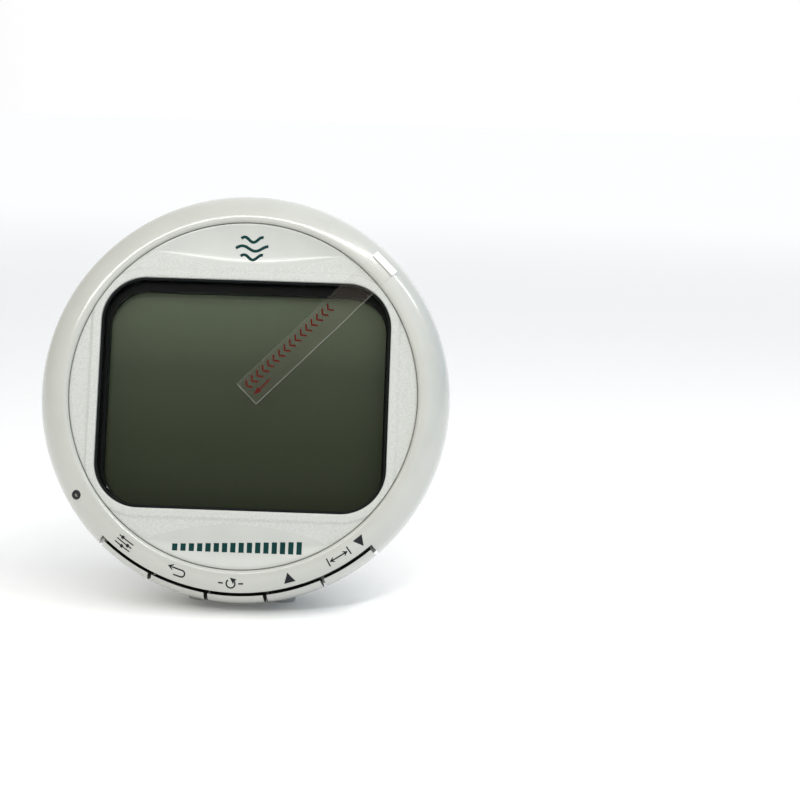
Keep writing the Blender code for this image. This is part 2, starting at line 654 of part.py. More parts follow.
def push_button(name, angle):
    """One button of the rim, with its plunger and the switch that it presses inward."""
    cap = turned(name, button_profile(), PEARL)
    half_angle = (BUTTON_PITCH - BUTTON_SIDE_GAP / OUTER_RADIUS) / 2
    wedge = sector(BUTTON_CUTTER_INNER, BUTTON_CUTTER_OUTER, angle, half_angle, 5)
    boolean(cap, plate(name + "_wedge", [wedge], -8 * MM, 14 * MM, helper=True), "INTERSECT")

    hammer_inner = PLUNGER_TIP + GAP
    arm_low = BUTTON_BACK + 0.1 * MM
    arm = sector(hammer_inner, BUTTON_ARM_OUTER, angle, BUTTON_ARM_SPAN, 2)
    join(cap, plate(name + "_arm", [arm], arm_low, arm_low + BUTTON_ARM_HEIGHT, helper=True))
    hammer = sector(hammer_inner, hammer_inner + HAMMER_THICKNESS, angle, BUTTON_ARM_SPAN, 2)
    hammer_low = SWITCH_MIDDLE - HAMMER_DROP
    hammer_high = arm_low + BUTTON_ARM_HEIGHT / 2
    join(cap, plate(name + "_hammer", [hammer], hammer_low, hammer_high, helper=True))
    key_switch(name.replace("button_", ""), angle)


def key_switch(label, angle):
    """Switch body on the board's back and the plunger that slides in it."""
    body_place = polar(SWITCH_RADIUS, angle, SWITCH_MIDDLE)
    body = block("switch_body_" + label, SWITCH_SIZE, body_place, BLACK_PLASTIC)
    face = SWITCH_RADIUS + SWITCH_SIZE[0] / 2
    bore = rod(
        "switch_bore_" + label,
        PLUNGER_RADIUS + GAP,
        2 * SWITCH_BORE_DEPTH,
        polar(face, angle, SWITCH_MIDDLE),
        helper=True,
        along="X",
        segments=16,
    )
    cut(body, bore)
    plunger = rod(
        "switch_plunger_" + label,
        PLUNGER_RADIUS,
        PLUNGER_LENGTH,
        polar(PLUNGER_TIP - PLUNGER_LENGTH / 2, angle, SWITCH_MIDDLE),
        STEEL,
        along="X",
        segments=16,
    )
    for obj in (body, bore, plunger):
        obj.rotation_euler.z = angle


def push_buttons():
    for number, name in enumerate(BUTTON_NAMES):
        push_button(name, -math.pi / 2 + (number - 2) * BUTTON_PITCH)


def rear_cover():
    """Drafted shell with a flat back, vents, screw wells, an inlet slot and two hinge ears."""
    front_edge = -GAP
    inner = [(0.0, BACK_FACE + COVER_WALL)] + cover_points(COVER_WALL, front_edge)[::-1]
    outer = cover_points(0.0, front_edge) + [(0.0, BACK_FACE)]
    cover = turned("rear_cover", inner + outer, PEARL, closed=False)

    notch_low = BUTTON_BACK - 2 * GAP
    notch = button_slot(BUTTON_CUTTER_INNER)
    cut(cover, plate("cover_button_notch", [notch], notch_low, 3 * MM, helper=True))

    low = BACK_FACE + 0.5 * MM
    high = BOSS_BACK - 0.4 * MM
    for number, (x, y) in enumerate(BOSS_PLACES, 1):
        centre = (x, y, (low + high) / 2)
        well = (x, y, BACK_FACE)
        boss = rod(f"cover_boss_{number}", COVER_BOSS_RADIUS, high - low, centre, helper=True, segments=16)
        hole = rod(f"cover_hole_{number}", COVER_BOSS_HOLE, 50 * MM, well, helper=True, segments=12)
        well_depth = 2 * COVER_WELL_DEPTH
        sink = rod(f"cover_well_{number}", COVER_WELL_RADIUS, well_depth, well, helper=True, segments=16)
        join(cover, boss)
        cut(cover, hole)
        cut(cover, sink)

    for number in range(VENT_COUNT):
        height = SENSOR_Y + (number - (VENT_COUNT - 1) / 2) * VENT_PITCH
        slot = rounded_rectangle(*VENT_HALF, VENT_CORNER, (0.0, height), 2)
        low = BACK_FACE - 1 * MM
        cut(cover, plate(f"vent_{number}", [slot], low, low + 2 * COVER_WALL, helper=True))

    slot_place = (INLET_SLOT_X, 0, INLET_MIDDLE)
    cut(cover, block("inlet_slot", INLET_SLOT_SIZE, slot_place, helper=True))
    hinge_ears(cover)


def hinge_ears(cover):
    """Two ears on the back that carry the stand's pin."""
    root_depth = BACK_FACE + COVER_WALL / 2 - HINGE_Z
    for side, tag in ((-1, "left"), (1, "right")):
        x = side * (EAR_INNER + EAR_WIDTH / 2)
        root_size = (EAR_WIDTH, EAR_ROOT_WIDTH, root_depth)
        root_place = (x, HINGE_Y, HINGE_Z + root_depth / 2)
        join(cover, block(f"ear_root_{tag}", root_size, root_place, helper=True))
        join(cover, rod(f"ear_{tag}", EAR_RADIUS, EAR_WIDTH, (x, HINGE_Y, HINGE_Z), helper=True, along="X"))
    bore_length = 2 * (EAR_INNER + EAR_WIDTH) + 4 * MM
    bore_place = (0, HINGE_Y, HINGE_Z)
    cut(cover, rod("ear_bore", PIN_RADIUS + PIN_PLAY, bore_length, bore_place, helper=True, along="X"))


def housing_screws():
    """Four countersunk-well screws that hold the rear cover to the panel's bosses."""
    seat = BACK_FACE + COVER_WELL_DEPTH - GAP
    head_low = seat - SCREW_HEAD_HEIGHT
    tip = BOSS_BACK + SCREW_REACH
    profile = [
        (0.0, tip),
        (SCREW_SHANK, tip - SCREW_TIP),
        (SCREW_SHANK, seat),
        (SCREW_HEAD_RADIUS, seat),
        (SCREW_HEAD_RADIUS, head_low + SCREW_HEAD_CHAMFER),
        (SCREW_HEAD_RADIUS - SCREW_HEAD_CHAMFER, head_low),
        (0.0, head_low),
    ]
    length, width, depth = SCREW_CROSS
    for number, (x, y) in enumerate(BOSS_PLACES, 1):
        screw = turned(f"housing_screw_{number}", profile, STEEL, segments=20, closed=False)
        screw.location = (x, y, 0)
        for turn, size in enumerate(((length, width, depth), (width, length, depth))):
            cross = block(f"screw_cross_{number}_{turn}", size, (x, y, head_low), helper=True)
            cut(screw, cross)


def board_screws():
    """Four small screws that hold the main board to the panel's posts."""
    tip = BOARD_FACE + BOARD_SCREW_REACH
    crown_radius, crown_height = BOARD_SCREW_CROWN
    profile = [
        (0.0, tip),
        (BOARD_SCREW_SHANK, tip - BOARD_SCREW_TIP),
        (BOARD_SCREW_SHANK, BOARD_UNDER),
        (BOARD_SCREW_HEAD, BOARD_UNDER),
        (BOARD_SCREW_HEAD, BOARD_UNDER - crown_height),
        (crown_radius, BOARD_UNDER - BOARD_SCREW_HEIGHT),
        (0.0, BOARD_UNDER - BOARD_SCREW_HEIGHT),
    ]
    for number, (x, y) in enumerate(POST_PLACES, 1):
        screw = turned(f"board_screw_{number}", profile, STEEL, segments=14, closed=False)
        screw.location = (x, y, 0)


def rubber_feet():
    """Two round feet, flat on the desk, shaped to the curve of the cover above them."""
    envelope = [(0.0, 2 * MM)] + cover_points(-GAP, 2 * MM) + [(0.0, BACK_FACE - GAP)]
    mould = turned("cover_envelope", envelope, helper=True, closed=False)
    up = Vector((0.0, math.cos(LEAN_BACK), math.sin(LEAN_BACK)))
    back = Vector((0.0, math.sin(LEAN_BACK), -math.cos(LEAN_BACK)))
    for side, tag in ((-1, "left"), (1, "right")):
        base = Vector((side * FOOT_X, 0, 0)) - up * DESK_DROP + back * FOOT_SETBACK
        foot = rod("foot_" + tag, FOOT_RADIUS, FOOT_HEIGHT, base + up * FOOT_HEIGHT / 2, GREY_RUBBER)
        foot.rotation_euler.x = LEAN_BACK - math.pi / 2
        cut(foot, mould)


def stand_length():
    """Distance from the hinge to the tip's axis that lets the tip rest on the desk."""
    hinge_above_desk = DESK_DROP + HINGE_Y * math.cos(LEAN_BACK) + HINGE_Z * math.sin(LEAN_BACK)
    return (hinge_above_desk - STAND_TIP_RADIUS) / math.cos(STAND_ANGLE - LEAN_BACK)


def stand():
    """Fold-out leg, open against its stop, and the pin that it turns on."""
    length = stand_length()
    clearance = BACK_FACE - HINGE_Z - GAP
    heel = (clearance - STAND_THICKNESS / 2 * math.cos(STAND_ANGLE)) / math.sin(STAND_ANGLE)
    outline = [
        (-STAND_TOP_HALF, heel),
        (-STAND_TIP_HALF, -length),
        (STAND_TIP_HALF, -length),
        (STAND_TOP_HALF, heel),
    ]
    half = STAND_THICKNESS / 2
    leg = plate("stand_leg", [outline], -half, half, PEARL)
    leg.matrix_basis = Matrix.Translation((0, HINGE_Y, HINGE_Z)) @ Matrix.Rotation(STAND_ANGLE, 4, "X")
    tools = [
        rod("stand_barrel", STAND_BARREL, 2 * STAND_TOP_HALF, (0, 0, 0), helper=True, along="X"),
        rod("stand_tip", STAND_TIP_RADIUS, 2 * STAND_TIP_HALF, (0, -length, 0), helper=True, along="X"),
    ]
    for tool in tools:
        tool.parent = leg
        join(leg, tool)
    pin_length = 2 * (EAR_INNER + EAR_WIDTH)
    bore = rod("stand_bore", PIN_RADIUS + PIN_PLAY, pin_length, (0, 0, 0), helper=True, along="X")
    bore.parent = leg
    cut(leg, bore)
    rod("stand_pin", PIN_RADIUS, pin_length, (0, HINGE_Y, HINGE_Z), STEEL, along="X")


def set_down():
    """Move the instrument so that its box's bottom centre is at the world's origin."""
    bpy.context.view_layer.update()
    graph = bpy.context.evaluated_depsgraph_get()
    corners = []
    for obj in PARTS.objects:
        if obj.type != "MESH":
            continue
        evaluated = obj.evaluated_get(graph)
        mesh = evaluated.to_mesh()
        corners += [evaluated.matrix_world @ vertex.co for vertex in mesh.vertices]
        evaluated.to_mesh_clear()
    low = [min(corner[axis] for corner in corners) for axis in range(3)]
    high = [max(corner[axis] for corner in corners) for axis in range(3)]
    INSTRUMENT.location = (-(low[0] + high[0]) / 2, -(low[1] + high[1]) / 2, -low[2])


front_ring()
front_panel()
display_window()
pull_tab_film()
display_stack()
main_board()
board_components()
power_inlet()
indicator()
sensor_module()
push_buttons()
rear_cover()
housing_screws()
board_screws()
rubber_feet()
stand()
set_down()
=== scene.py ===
"""Looks of the round desktop carbon dioxide monitor, built round the measured model.

Lengths are in millimetres in the instrument's own frame: X to the right across the face, Y up
the face, Z out of the face, with Z = 0 at the parting line. INSTRUMENT places that frame in the
world, and MM turns millimetres into metres when a mesh is made.
"""

import json
import math

import bmesh
import bpy
from mathutils import Matrix, Vector


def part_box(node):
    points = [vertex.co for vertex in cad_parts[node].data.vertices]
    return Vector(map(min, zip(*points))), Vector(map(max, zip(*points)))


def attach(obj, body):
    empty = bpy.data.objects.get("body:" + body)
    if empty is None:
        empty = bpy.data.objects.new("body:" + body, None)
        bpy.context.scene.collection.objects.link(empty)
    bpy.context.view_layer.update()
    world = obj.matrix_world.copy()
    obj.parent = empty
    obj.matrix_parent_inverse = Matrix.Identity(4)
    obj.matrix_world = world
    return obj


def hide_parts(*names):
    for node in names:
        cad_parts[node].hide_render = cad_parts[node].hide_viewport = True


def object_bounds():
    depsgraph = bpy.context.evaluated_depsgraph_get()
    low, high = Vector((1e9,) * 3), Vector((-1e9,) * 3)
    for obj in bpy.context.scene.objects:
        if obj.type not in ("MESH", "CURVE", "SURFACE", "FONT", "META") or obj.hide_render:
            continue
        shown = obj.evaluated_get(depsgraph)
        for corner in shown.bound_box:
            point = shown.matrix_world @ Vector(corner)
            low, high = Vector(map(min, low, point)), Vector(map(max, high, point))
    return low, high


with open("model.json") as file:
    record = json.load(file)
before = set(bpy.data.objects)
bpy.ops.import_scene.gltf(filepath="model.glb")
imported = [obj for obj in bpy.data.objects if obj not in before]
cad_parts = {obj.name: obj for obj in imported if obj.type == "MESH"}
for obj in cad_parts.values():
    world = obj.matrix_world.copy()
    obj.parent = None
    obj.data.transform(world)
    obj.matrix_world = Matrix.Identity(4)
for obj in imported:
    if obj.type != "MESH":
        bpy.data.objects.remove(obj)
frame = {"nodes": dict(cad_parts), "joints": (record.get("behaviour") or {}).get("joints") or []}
cad_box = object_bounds()

MM = 0.001
NODES = frame["nodes"]
JOINTS = {joint["name"]: joint for joint in frame["joints"]}

# Housing.
OUTER_RADIUS = (cad_box[1].x - cad_box[0].x) / 2 / MM
CREST_RADIUS = 51.6
CREST_HEIGHT = 11.5
RING_BORE = 50.6
RING_WALL = 1.9
LIP_DROP = 1.4
INNER_DOME_START = 54.0
DOME_POWER = 2.2
LEDGE_RADIUS = 53.0
LEDGE_BORE = 49.0
LEDGE_LOW = 7.2
LEDGE_TOP = 8.3
COVER_RADIUS = 59.6
COVER_WAIST = 57.6
COVER_BEND = 10.3
COVER_EDGE = 10.0
BACK_FACE = -20.3
COVER_WALL = 2.0
COLUMNS = 320

# Face.
PANEL_RADIUS = 50.46
PANEL_ROUNDING = 0.3
PANEL_BACK = 8.6
PANEL_FACE = 10.2
PLATFORM_RISE = 0.4
PLATFORM_RIM = 2.6
PLATFORM_SLOPE = 1.0
WINDOW_HALF = (42.15, 33.55)
WINDOW_CORNER = 13.1
WINDOW_ROUNDING = 0.4
GASKET_WIDTH = 0.6
GASKET_GAP = 0.15
GAP = 0.3
LENS_BACK = 8.2
LENS_FACE = 9.7
LENS_CHAMFER = 0.3

# Dishes of the panel. Each is bounded by an arc, given as its centre's height and its radius.
TOP_DISH = (128.0, 90.8)
TOP_SLOPES = (0.30, 0.10)
TOP_DEPTH = 0.55
BOTTOM_DISH = (-110.0, 72.4)
BOTTOM_SLOPES = (0.16, 0.14)
BOTTOM_DEPTH = 0.7
DISH_MARGIN = 0.6
DISH_SOFTNESS = 3

# Rows of the panel's mesh, between the window, its rounding, the platform's edges, the dish's
# arc, the rim's rounding and the rim.
PANEL_COLUMNS = 720
PANEL_ROWS = (4, 4, 6, 10, 24, 4)
PANEL_MIDDLE = 20.0
ROW_GAP = 0.02
BISECTIONS = 40

# Display frame seen through the lens.
FRAME_HALF = (43.0, 35.0)
FRAME_CORNER = 6.0
OPENING_HALF = (40.35, 31.2)
OPENING_CORNER = 10.5
OPENING_SHIFT = (0.35, -1.4)
OPENING_BEVEL = 0.3
GLASS_POCKET = (82.8, 66.0, 6.0)
GLASS_POCKET_CENTRE = (0, 0, 1.0)
FRAME_BACK = 1.2
FRAME_FACE = 6.9

# Buttons and indicator.
BUTTONS = ("set", "escape", "reset", "up", "down")
BUTTON_PITCH = math.tau * 3 / 64
BUTTON_SIDE_GAP = 1.15
SLOT_INNER = 57.0
SLOT_OUTER = OUTER_RADIUS + 4
SLOT_STEPS = 80
LIP_RADIUS = 57.95
BUTTON_SHOULDER = 0.0
BUTTON_BACK = -4.0
BUTTON_HOLLOW = 57.0
BUTTON_REAR_RADIUS = 59.2
ARM_HALF_WIDTH = 2.5
ARM_RADII = (50.8, 57.5)
ARM_HEIGHTS = (-3.9, -1.7)
HAMMER_RADII = (50.8, 52.5)
HAMMER_HEIGHTS = (-6.4, -2.9)
INDICATOR_RADIUS = 55.8
INDICATOR_ANGLE = math.radians(-146.8)
INDICATOR_X = INDICATOR_RADIUS * math.cos(INDICATOR_ANGLE)
INDICATOR_Y = INDICATOR_RADIUS * math.sin(INDICATOR_ANGLE)
INDICATOR_HOLE = 1.4
SLEEVE_RADII = (1.08, 1.37)
SLEEVE_DEPTH = 2.2

# Rear cover's details.
COVER_SLOT_INNER = 54.0
COVER_SLOT_GAP = 0.6
CENTRE_FLAT = 0.6
EAR_SIZE = (3.0, 5.2, 3.4)
EAR_RADIUS = 2.6
EAR_X = 14.7
POST_RADIUS = 3.3
POST_MIDDLE = -11.85
POST_LENGTH = 15.9
SCREW_BORE = 1.6
WELL_RADIUS = 2.9
WELL_LENGTH = 6.4
VENTS = 7
VENT_HALF = (15, 0.9)
VENT_CORNER = 0.89
VENT_MIDDLE = 16.0
VENT_PITCH = 4.2
INLET_HALF = (4.5, 1.95)
INLET_CORNER = 1.2
INLET_Z = -4.6
INLET_FROM_TO = (53.0, 63.0)
EAR_BORE = 1.08

# Stand and feet.
HINGE_Y = -10.0
HINGE_Z = BACK_FACE - 2.6
STAND_ANGLE = math.radians(35.0)
LEAN_BACK = math.radians(15.0)
DESK_DROP = 60.0
LEG_THICKNESS = 2.4
LEG_TOP_HALF = 12.5
LEG_TIP_HALF = 14.0
LEG_TIP_RADIUS = 1.6
LEG_BORE = 1.1
KNUCKLE_RADIUS = 2.2
KNUCKLE_LENGTH = 25
GRIPS = 4
GRIP_HALF = (8.0, 0.6)
GRIP_CORNER = 0.59
GRIP_FIRST = 8.0
GRIP_PITCH = 2.6
GRIP_DEPTH = 0.5
LEG_PANEL_HALF = (9.0, 9.0)
LEG_PANEL_CORNER = 2.0
LEG_PANEL_SHARE = 0.42
LEG_PANEL_DEPTH = 0.6
SCREW_PLACES = [(x * 18.2, y * 38.4) for x in (-1, 1) for y in (-1, 1)]

# Film.
FILM_START = (1.02, 0.22)
FILM_ANGLE = math.radians(45.6)
FILM_LENGTH = 56.2
FILM_THICKNESS = 0.2
FILM_HALF_WIDTH = 4.1
FILM_EDGE_WIDTH = 0.14
FILM_GRIP_LENGTH = 1.9
FILM_LENS_CLEARANCE = 0.4
FILM_PANEL_CLEARANCE = 0.35
FILM_STEP_START = 37.0
FILM_STEP_LENGTH = 4.0
FILM_CREST_START = 47.5
FILM_CREST_LENGTH = 4.5
FILM_END_SLOPE = 0.28

# Printed marks. Angles are in degrees round the ring, and a pointed end has TIP_WIDTH.
MARK_RADIUS = 54.4
MARK_ANGLES = {
    "set": -126.1,
    "escape": -108.0,
    "reset": -91.1,
    "up": -73.5,
    "span": -57.1,
    "down": -49.2,
}
TIP_WIDTH = 0.02
STROKE_STEP = 0.35
WAVE_STROKE = 0.85
WAVE_RISE = 0.75
WAVE_TURNS = 1.25
WAVES_AT = (0.75, 43.0)
SCALE_BARS = 16
SCALE_PITCH = 2.38
SCALE_BASE = -1.5
SCALE_HEIGHT = 2.0
SCALE_GROWTH = 1.6
SCALE_STROKE = 1.5
SCALE_AT = (0.2, -44.0)
CHEVRONS = 16
CHEVRON_FIRST = 1.6
CHEVRON_PITCH = 2.16
CHEVRON_REACH = 1.1
CHEVRON_STROKE = 0.5
ARROW_V = -1.55

# Colours that change up the display's height, with painted light and reflection that make it lighter
# towards its top, and from the left to the right of the sky.
OLIVE_PAINTED_LIGHT_TINTS = (
    (0.0, (0.032, 0.040, 0.021)),
    (0.3, (0.042, 0.053, 0.029)),
    (0.62, (0.065, 0.079, 0.049)),
    (0.93, (0.128, 0.152, 0.099)),
    (1.0, (0.154, 0.178, 0.122)),
)
WORLD_TINTS = (
    (0.0, (0.52, 0.51, 0.48)),
    (0.30, (0.74, 0.74, 0.72)),
    (0.39, (1.0, 1.0, 1.0)),
    (0.70, (1.0, 1.0, 1.0)),
    (0.85, (0.36, 0.48, 0.62)),
    (1.0, (0.20, 0.32, 0.46)),
)

WORLD_STRENGTH = 1.0

# The floor, in metres, and its glow, which grows between a near and a far distance.
FLOOR_RADIUS = 30.0
FLOOR_NEAR = 0.3
FLOOR_FAR = 2.4
FLOOR_GLOW_NEAR = 0.05
FLOOR_GLOW_FAR = 0.25

# A bent tube lamp, from the front left over the top to the right-hand side.
LAMP_BENDS = (
    (-0.42, -0.78, 0.47),
    (0.02, -0.78, 0.61),
    (0.34, -0.48, 0.80),
    (0.58, -0.08, 0.81),
    (0.80, 0.06, 0.60),
)
LAMP_DISTANCE = 0.8
LAMP_WIDTH = 0.05
LAMP_POWER = 60.0
LAMP_COLOR = (1.0, 0.99, 0.97)
LAMP_AIM = Vector((0, 0, 0.06))

# The dim part of the room that the flat window mirrors.
DIM_TOWARDS = (-0.07, -0.92, 0.38)
DIM_EDGE = 0.86
DIM_CORE = 0.95
DIM_SHADE = 0.4

# Camera, in metres and degrees.
SENSOR_WIDTH = 36.0
FOCAL_LENGTH = 81.0
CAMERA_PLACE = (0.0537, -0.5291, 0.1433)
CAMERA_HEADING = -0.921
CAMERA_PITCH = -8.929
CAMERA_ROLL = -1.777

FACE_RIGHT = Vector((1, 0, 0))
FACE_UP = Vector(JOINTS["press_reset"]["axis"]).normalized()
FACE_OUT = FACE_RIGHT.cross(FACE_UP)
HINGE = Vector(JOINTS["stand_fold"]["pos_m"])
CENTRE = HINGE - FACE_UP * HINGE_Y * MM - FACE_OUT * HINGE_Z * MM
INSTRUMENT = Matrix.Translation(CENTRE) @ Matrix((FACE_RIGHT, FACE_UP, FACE_OUT)).transposed().to_4x4()
RIDERS = []


# ---- materials ----


def shader_of(material):
    return material.node_tree.nodes["Principled BSDF"]


def new_material(name, color, roughness, metallic=0.0, **sockets):
    """A Principled material. Extra sockets are given by name with underscores for spaces."""
    material = bpy.data.materials.new(name)
    material.use_nodes = True
    shader = shader_of(material)
    shader.inputs["Base Color"].default_value = (*color, 1.0)
    shader.inputs["Roughness"].default_value = roughness
    shader.inputs["Metallic"].default_value = metallic
    for socket, value in sockets.items():
        shader.inputs[socket.replace("_", " ")].default_value = value
    return material


def noise(material, grain, detail=3.0):
    """Noise output with features of the given size in millimetres, fixed to the piece."""
    nodes = material.node_tree.nodes
    coordinates = nodes.new("ShaderNodeTexCoord")
    texture = nodes.new("ShaderNodeTexNoise")
    texture.inputs["Scale"].default_value = 1.0 / (grain * MM)
    texture.inputs["Detail"].default_value = detail
    material.node_tree.links.new(coordinates.outputs["Object"], texture.inputs["Vector"])
    return texture.outputs["Fac"]


def vary_color(material, grain, dark, light, low=0.35, high=0.65, detail=3.0):
    """Base colour that drifts between two colours with noise."""
    ramp = material.node_tree.nodes.new("ShaderNodeValToRGB")
    ramp.color_ramp.elements[0].position = low
    ramp.color_ramp.elements[0].color = (*dark, 1.0)
    ramp.color_ramp.elements[1].position = high
    ramp.color_ramp.elements[1].color = (*light, 1.0)
    links = material.node_tree.links
    links.new(noise(material, grain, detail), ramp.inputs["Fac"])
    links.new(ramp.outputs["Color"], shader_of(material).inputs["Base Color"])


def vary_roughness(material, grain, low, high):
    """Roughness that drifts between two values with noise."""
    spread = material.node_tree.nodes.new("ShaderNodeMapRange")
    spread.inputs["From Min"].default_value = 0.3
    spread.inputs["From Max"].default_value = 0.7
    spread.inputs["To Min"].default_value = low
    spread.inputs["To Max"].default_value = high
    links = material.node_tree.links
    links.new(noise(material, grain), spread.inputs["Value"])
    links.new(spread.outputs["Result"], shader_of(material).inputs["Roughness"])


def grain_bump(material, grain, height, strength=0.5, detail=2.0):
    """Fine surface grain: feature size and height in millimetres."""
    bump = material.node_tree.nodes.new("ShaderNodeBump")
    bump.inputs["Strength"].default_value = strength
    bump.inputs["Distance"].default_value = height * MM
    links = material.node_tree.links
    links.new(noise(material, grain, detail), bump.inputs["Height"])
    links.new(bump.outputs["Normal"], shader_of(material).inputs["Normal"])


def moulded(name, color, roughness, spread=0.04, grain=0.5, height=0.01, metallic=0.0, **sockets):
    """Moulded or painted surface: slight colour drift, uneven gloss and fine grain."""
    dark = [channel * (1 - spread) for channel in color]
    light = [min(channel * (1 + spread), 1.0) for channel in color]
    material = new_material(name, color, roughness, metallic, **sockets)
    vary_color(material, 9.0, dark, light)
    vary_roughness(material, 4.0, roughness * 0.9, roughness * 1.12)
    grain_bump(material, grain, height)
    return material


PEARL = moulded(
    "pearl_paint", (0.495, 0.50, 0.457), 0.38, 0.02, 0.35, 0.002,
    Coat_Weight=1.0, Coat_Roughness=0.13,
)
SILVER_SMOOTH = moulded(
    "silver_smooth", (0.51, 0.517, 0.483), 0.36, 0.02, 0.3, 0.002,
    Coat_Weight=1.0, Coat_Roughness=0.2,
)
REAR_PLASTIC = moulded("rear_plastic", (0.475, 0.48, 0.44), 0.48, 0.03, 0.45, 0.015)
FOOT_RUBBER = moulded("grey_rubber", (0.40, 0.40, 0.38), 0.6, 0.06, 0.25, 0.01)
DISPLAY_BLACK = moulded(
    "display_black", (0.003, 0.004, 0.003), 0.5, 0.15, 0.4, 0.002,
    Specular_IOR_Level=0.08, Coat_Weight=0.3,
)
RUBBER = moulded("black_rubber", (0.005, 0.007, 0.007), 0.5, 0.15, 0.25, 0.01, Specular_IOR_Level=0.12)
# Painted shade for the gaps round and between the button caps.
GAP_SHADE = moulded("gap_shade", (0.06, 0.053, 0.046), 0.6, 0.1, 0.4, 0.01, Specular_IOR_Level=0.2)
BLACK_PLASTIC = moulded("black_plastic", (0.012, 0.013, 0.013), 0.5, 0.15, 0.4, 0.01)
PRINT_TEAL = moulded("teal_print", (0.002, 0.034, 0.032), 0.45, 0.08, 0.3, 0.003, Specular_IOR_Level=0.1)
PRINT_GREY = moulded("grey_print", (0.018, 0.019, 0.023), 0.5, 0.08, 0.3, 0.003, Specular_IOR_Level=0.1)
PRINT_RED = moulded("red_print", (0.085, 0.006, 0.004), 0.5, 0.08, 0.3, 0.003, Specular_IOR_Level=0.1)


def silver_textured():
    """Silver paint with a fine sparkle over a lightly textured moulding."""
    material = new_material("silver_textured", (0.52, 0.528, 0.495), 0.42)
    vary_color(material, 0.40, (0.49, 0.498, 0.465), (0.56, 0.568, 0.535), 0.38, 0.62, 1.0)
    grain_bump(material, 0.5, 0.02, 0.4)
    return material


SILVER_TEXTURED = silver_textured()


def clear(name, color, roughness, **sockets):
    """Clear or glassy material, with an uneven polish."""
    material = new_material(name, color, roughness, **sockets)
    vary_roughness(material, 6.0, roughness * 0.8, roughness * 1.4)
    return material


LENS = clear("clear_lens", (0.001, 0.001, 0.001), 0.03, Alpha=0.1, Specular_IOR_Level=0.0)
FILM = clear("clear_film", (0.50, 0.42, 0.34), 0.25, Alpha=0.018, Specular_IOR_Level=0.2)
# Painted highlights for the film's cut edges: brighter on the lower edge, faint on the upper edge.
FILM_EDGE_HIGHLIGHT = clear("film_edge_highlight", (0.70, 0.71, 0.64), 0.3, Alpha=0.17)
FILM_EDGE_FAINT_HIGHLIGHT = clear("film_edge_faint_highlight", (0.62, 0.62, 0.56), 0.3, Alpha=0.07)
FILM_GRIP = moulded("film_grip", (0.93, 0.93, 0.92), 0.25, 0.02)
GUIDE = moulded("smoked_guide", (0.012, 0.012, 0.012), 0.12, 0.1, 0.3, 0.002, Coat_Weight=1.0)
# Painted highlight: grey for the glint at the middle of the indicator's light guide.
GUIDE_PAINTED_GLINT = moulded("guide_painted_glint", (0.22, 0.225, 0.19), 0.25, 0.1)


def fill_ramp(ramp, stops):
    """Set a colour ramp's stops from (position, colour) pairs in rising order."""
    elements = ramp.color_ramp.elements
    while len(elements) < len(stops):
        elements.new(0.5)
    for element, (position, color) in zip(elements, stops):
        element.position = position
        element.color = (*color, 1.0)


def display_olive_painted_light():
    """Blank liquid-crystal glass: olive, with painted light and reflection that make it lighter towards its
    top edge.
    """
    sheen = {"Specular_IOR_Level": 0.12, "Coat_Weight": 0.3}
    material = new_material("display_olive_painted_light", (0.06, 0.07, 0.05), 0.2, **sheen)
    nodes = material.node_tree.nodes
    links = material.node_tree.links
    coordinates = nodes.new("ShaderNodeTexCoord")
    split = nodes.new("ShaderNodeSeparateXYZ")
    spread = nodes.new("ShaderNodeMapRange")
    low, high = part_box("display_glass")
    spread.inputs["From Min"].default_value = low.z
    spread.inputs["From Max"].default_value = high.z
    ramp = nodes.new("ShaderNodeValToRGB")
    fill_ramp(ramp, OLIVE_PAINTED_LIGHT_TINTS)
    links.new(coordinates.outputs["Object"], split.inputs["Vector"])
    links.new(split.outputs["Z"], spread.inputs["Value"])
    links.new(spread.outputs["Result"], ramp.inputs["Fac"])
    links.new(ramp.outputs["Color"], shader_of(material).inputs["Base Color"])
    return material


# ---- mesh building ----


def finish_mesh(name, builder, sharp=35.0):
    """Mesh from a builder, smooth except at edges sharper than an angle in degrees."""
    bmesh.ops.recalc_face_normals(builder, faces=builder.faces)
    mesh = bpy.data.meshes.new(name)
    builder.to_mesh(mesh)
    builder.free()
    mesh.shade_smooth()
    mesh.set_sharp_from_angle(angle=math.radians(sharp))
    return mesh


def piece(name, mesh, materials, body="housing", place=INSTRUMENT):
    """Put a mesh in the scene as a piece that rides on a body."""
    obj = bpy.data.objects.new(name, mesh)
    bpy.context.scene.collection.objects.link(obj)
    obj.matrix_world = place
    for material in materials if isinstance(materials, list) else [materials]:
        mesh.materials.append(material)
    RIDERS.append((obj, body))
    return obj


def settle():
    """Bake each piece's place into its mesh and hand it to its body."""
    for obj, body in RIDERS:
        obj.data.transform(obj.matrix_world)
        obj.matrix_world = Matrix()
        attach(obj, body)


def skin(builder, loops, around=True, ring=False, caps=False):
    """Quads through loops of points.

    Each loop closes on itself when around is true, the last loop joins the first when ring is
    true, and caps closes both ends. Returns the rows of vertices.
    """
    rows = [[builder.verts.new(Vector(point) * MM) for point in loop] for loop in loops]
    pairs = list(zip(rows, rows[1:]))
    if ring:
        pairs.append((rows[-1], rows[0]))
    for near, far in pairs:
        count = len(near)
        for i in range(count if around else count - 1):
            j = (i + 1) % count
            builder.faces.new((near[i], near[j], far[j], far[i]))
    if caps:
        builder.faces.new(rows[0])
        builder.faces.new(rows[-1][::-1])
    return rows


def spin(profile, angles):
    """Loops of a (radius, height) profile turned to each angle."""
    return [[(r * math.cos(a), r * math.sin(a), z) for r, z in profile] for a in angles]


def full_turn(count):
    return [math.tau * i / count for i in range(count)]


def arc(radius, start, end, steps, centre=(0.0, 0.0)):
    """Points along a circle's arc between two angles."""
    points = []
    for step in range(steps + 1):
        angle = start + (end - start) * step / steps
        points.append((centre[0] + radius * math.cos(angle), centre[1] + radius * math.sin(angle)))
    return points


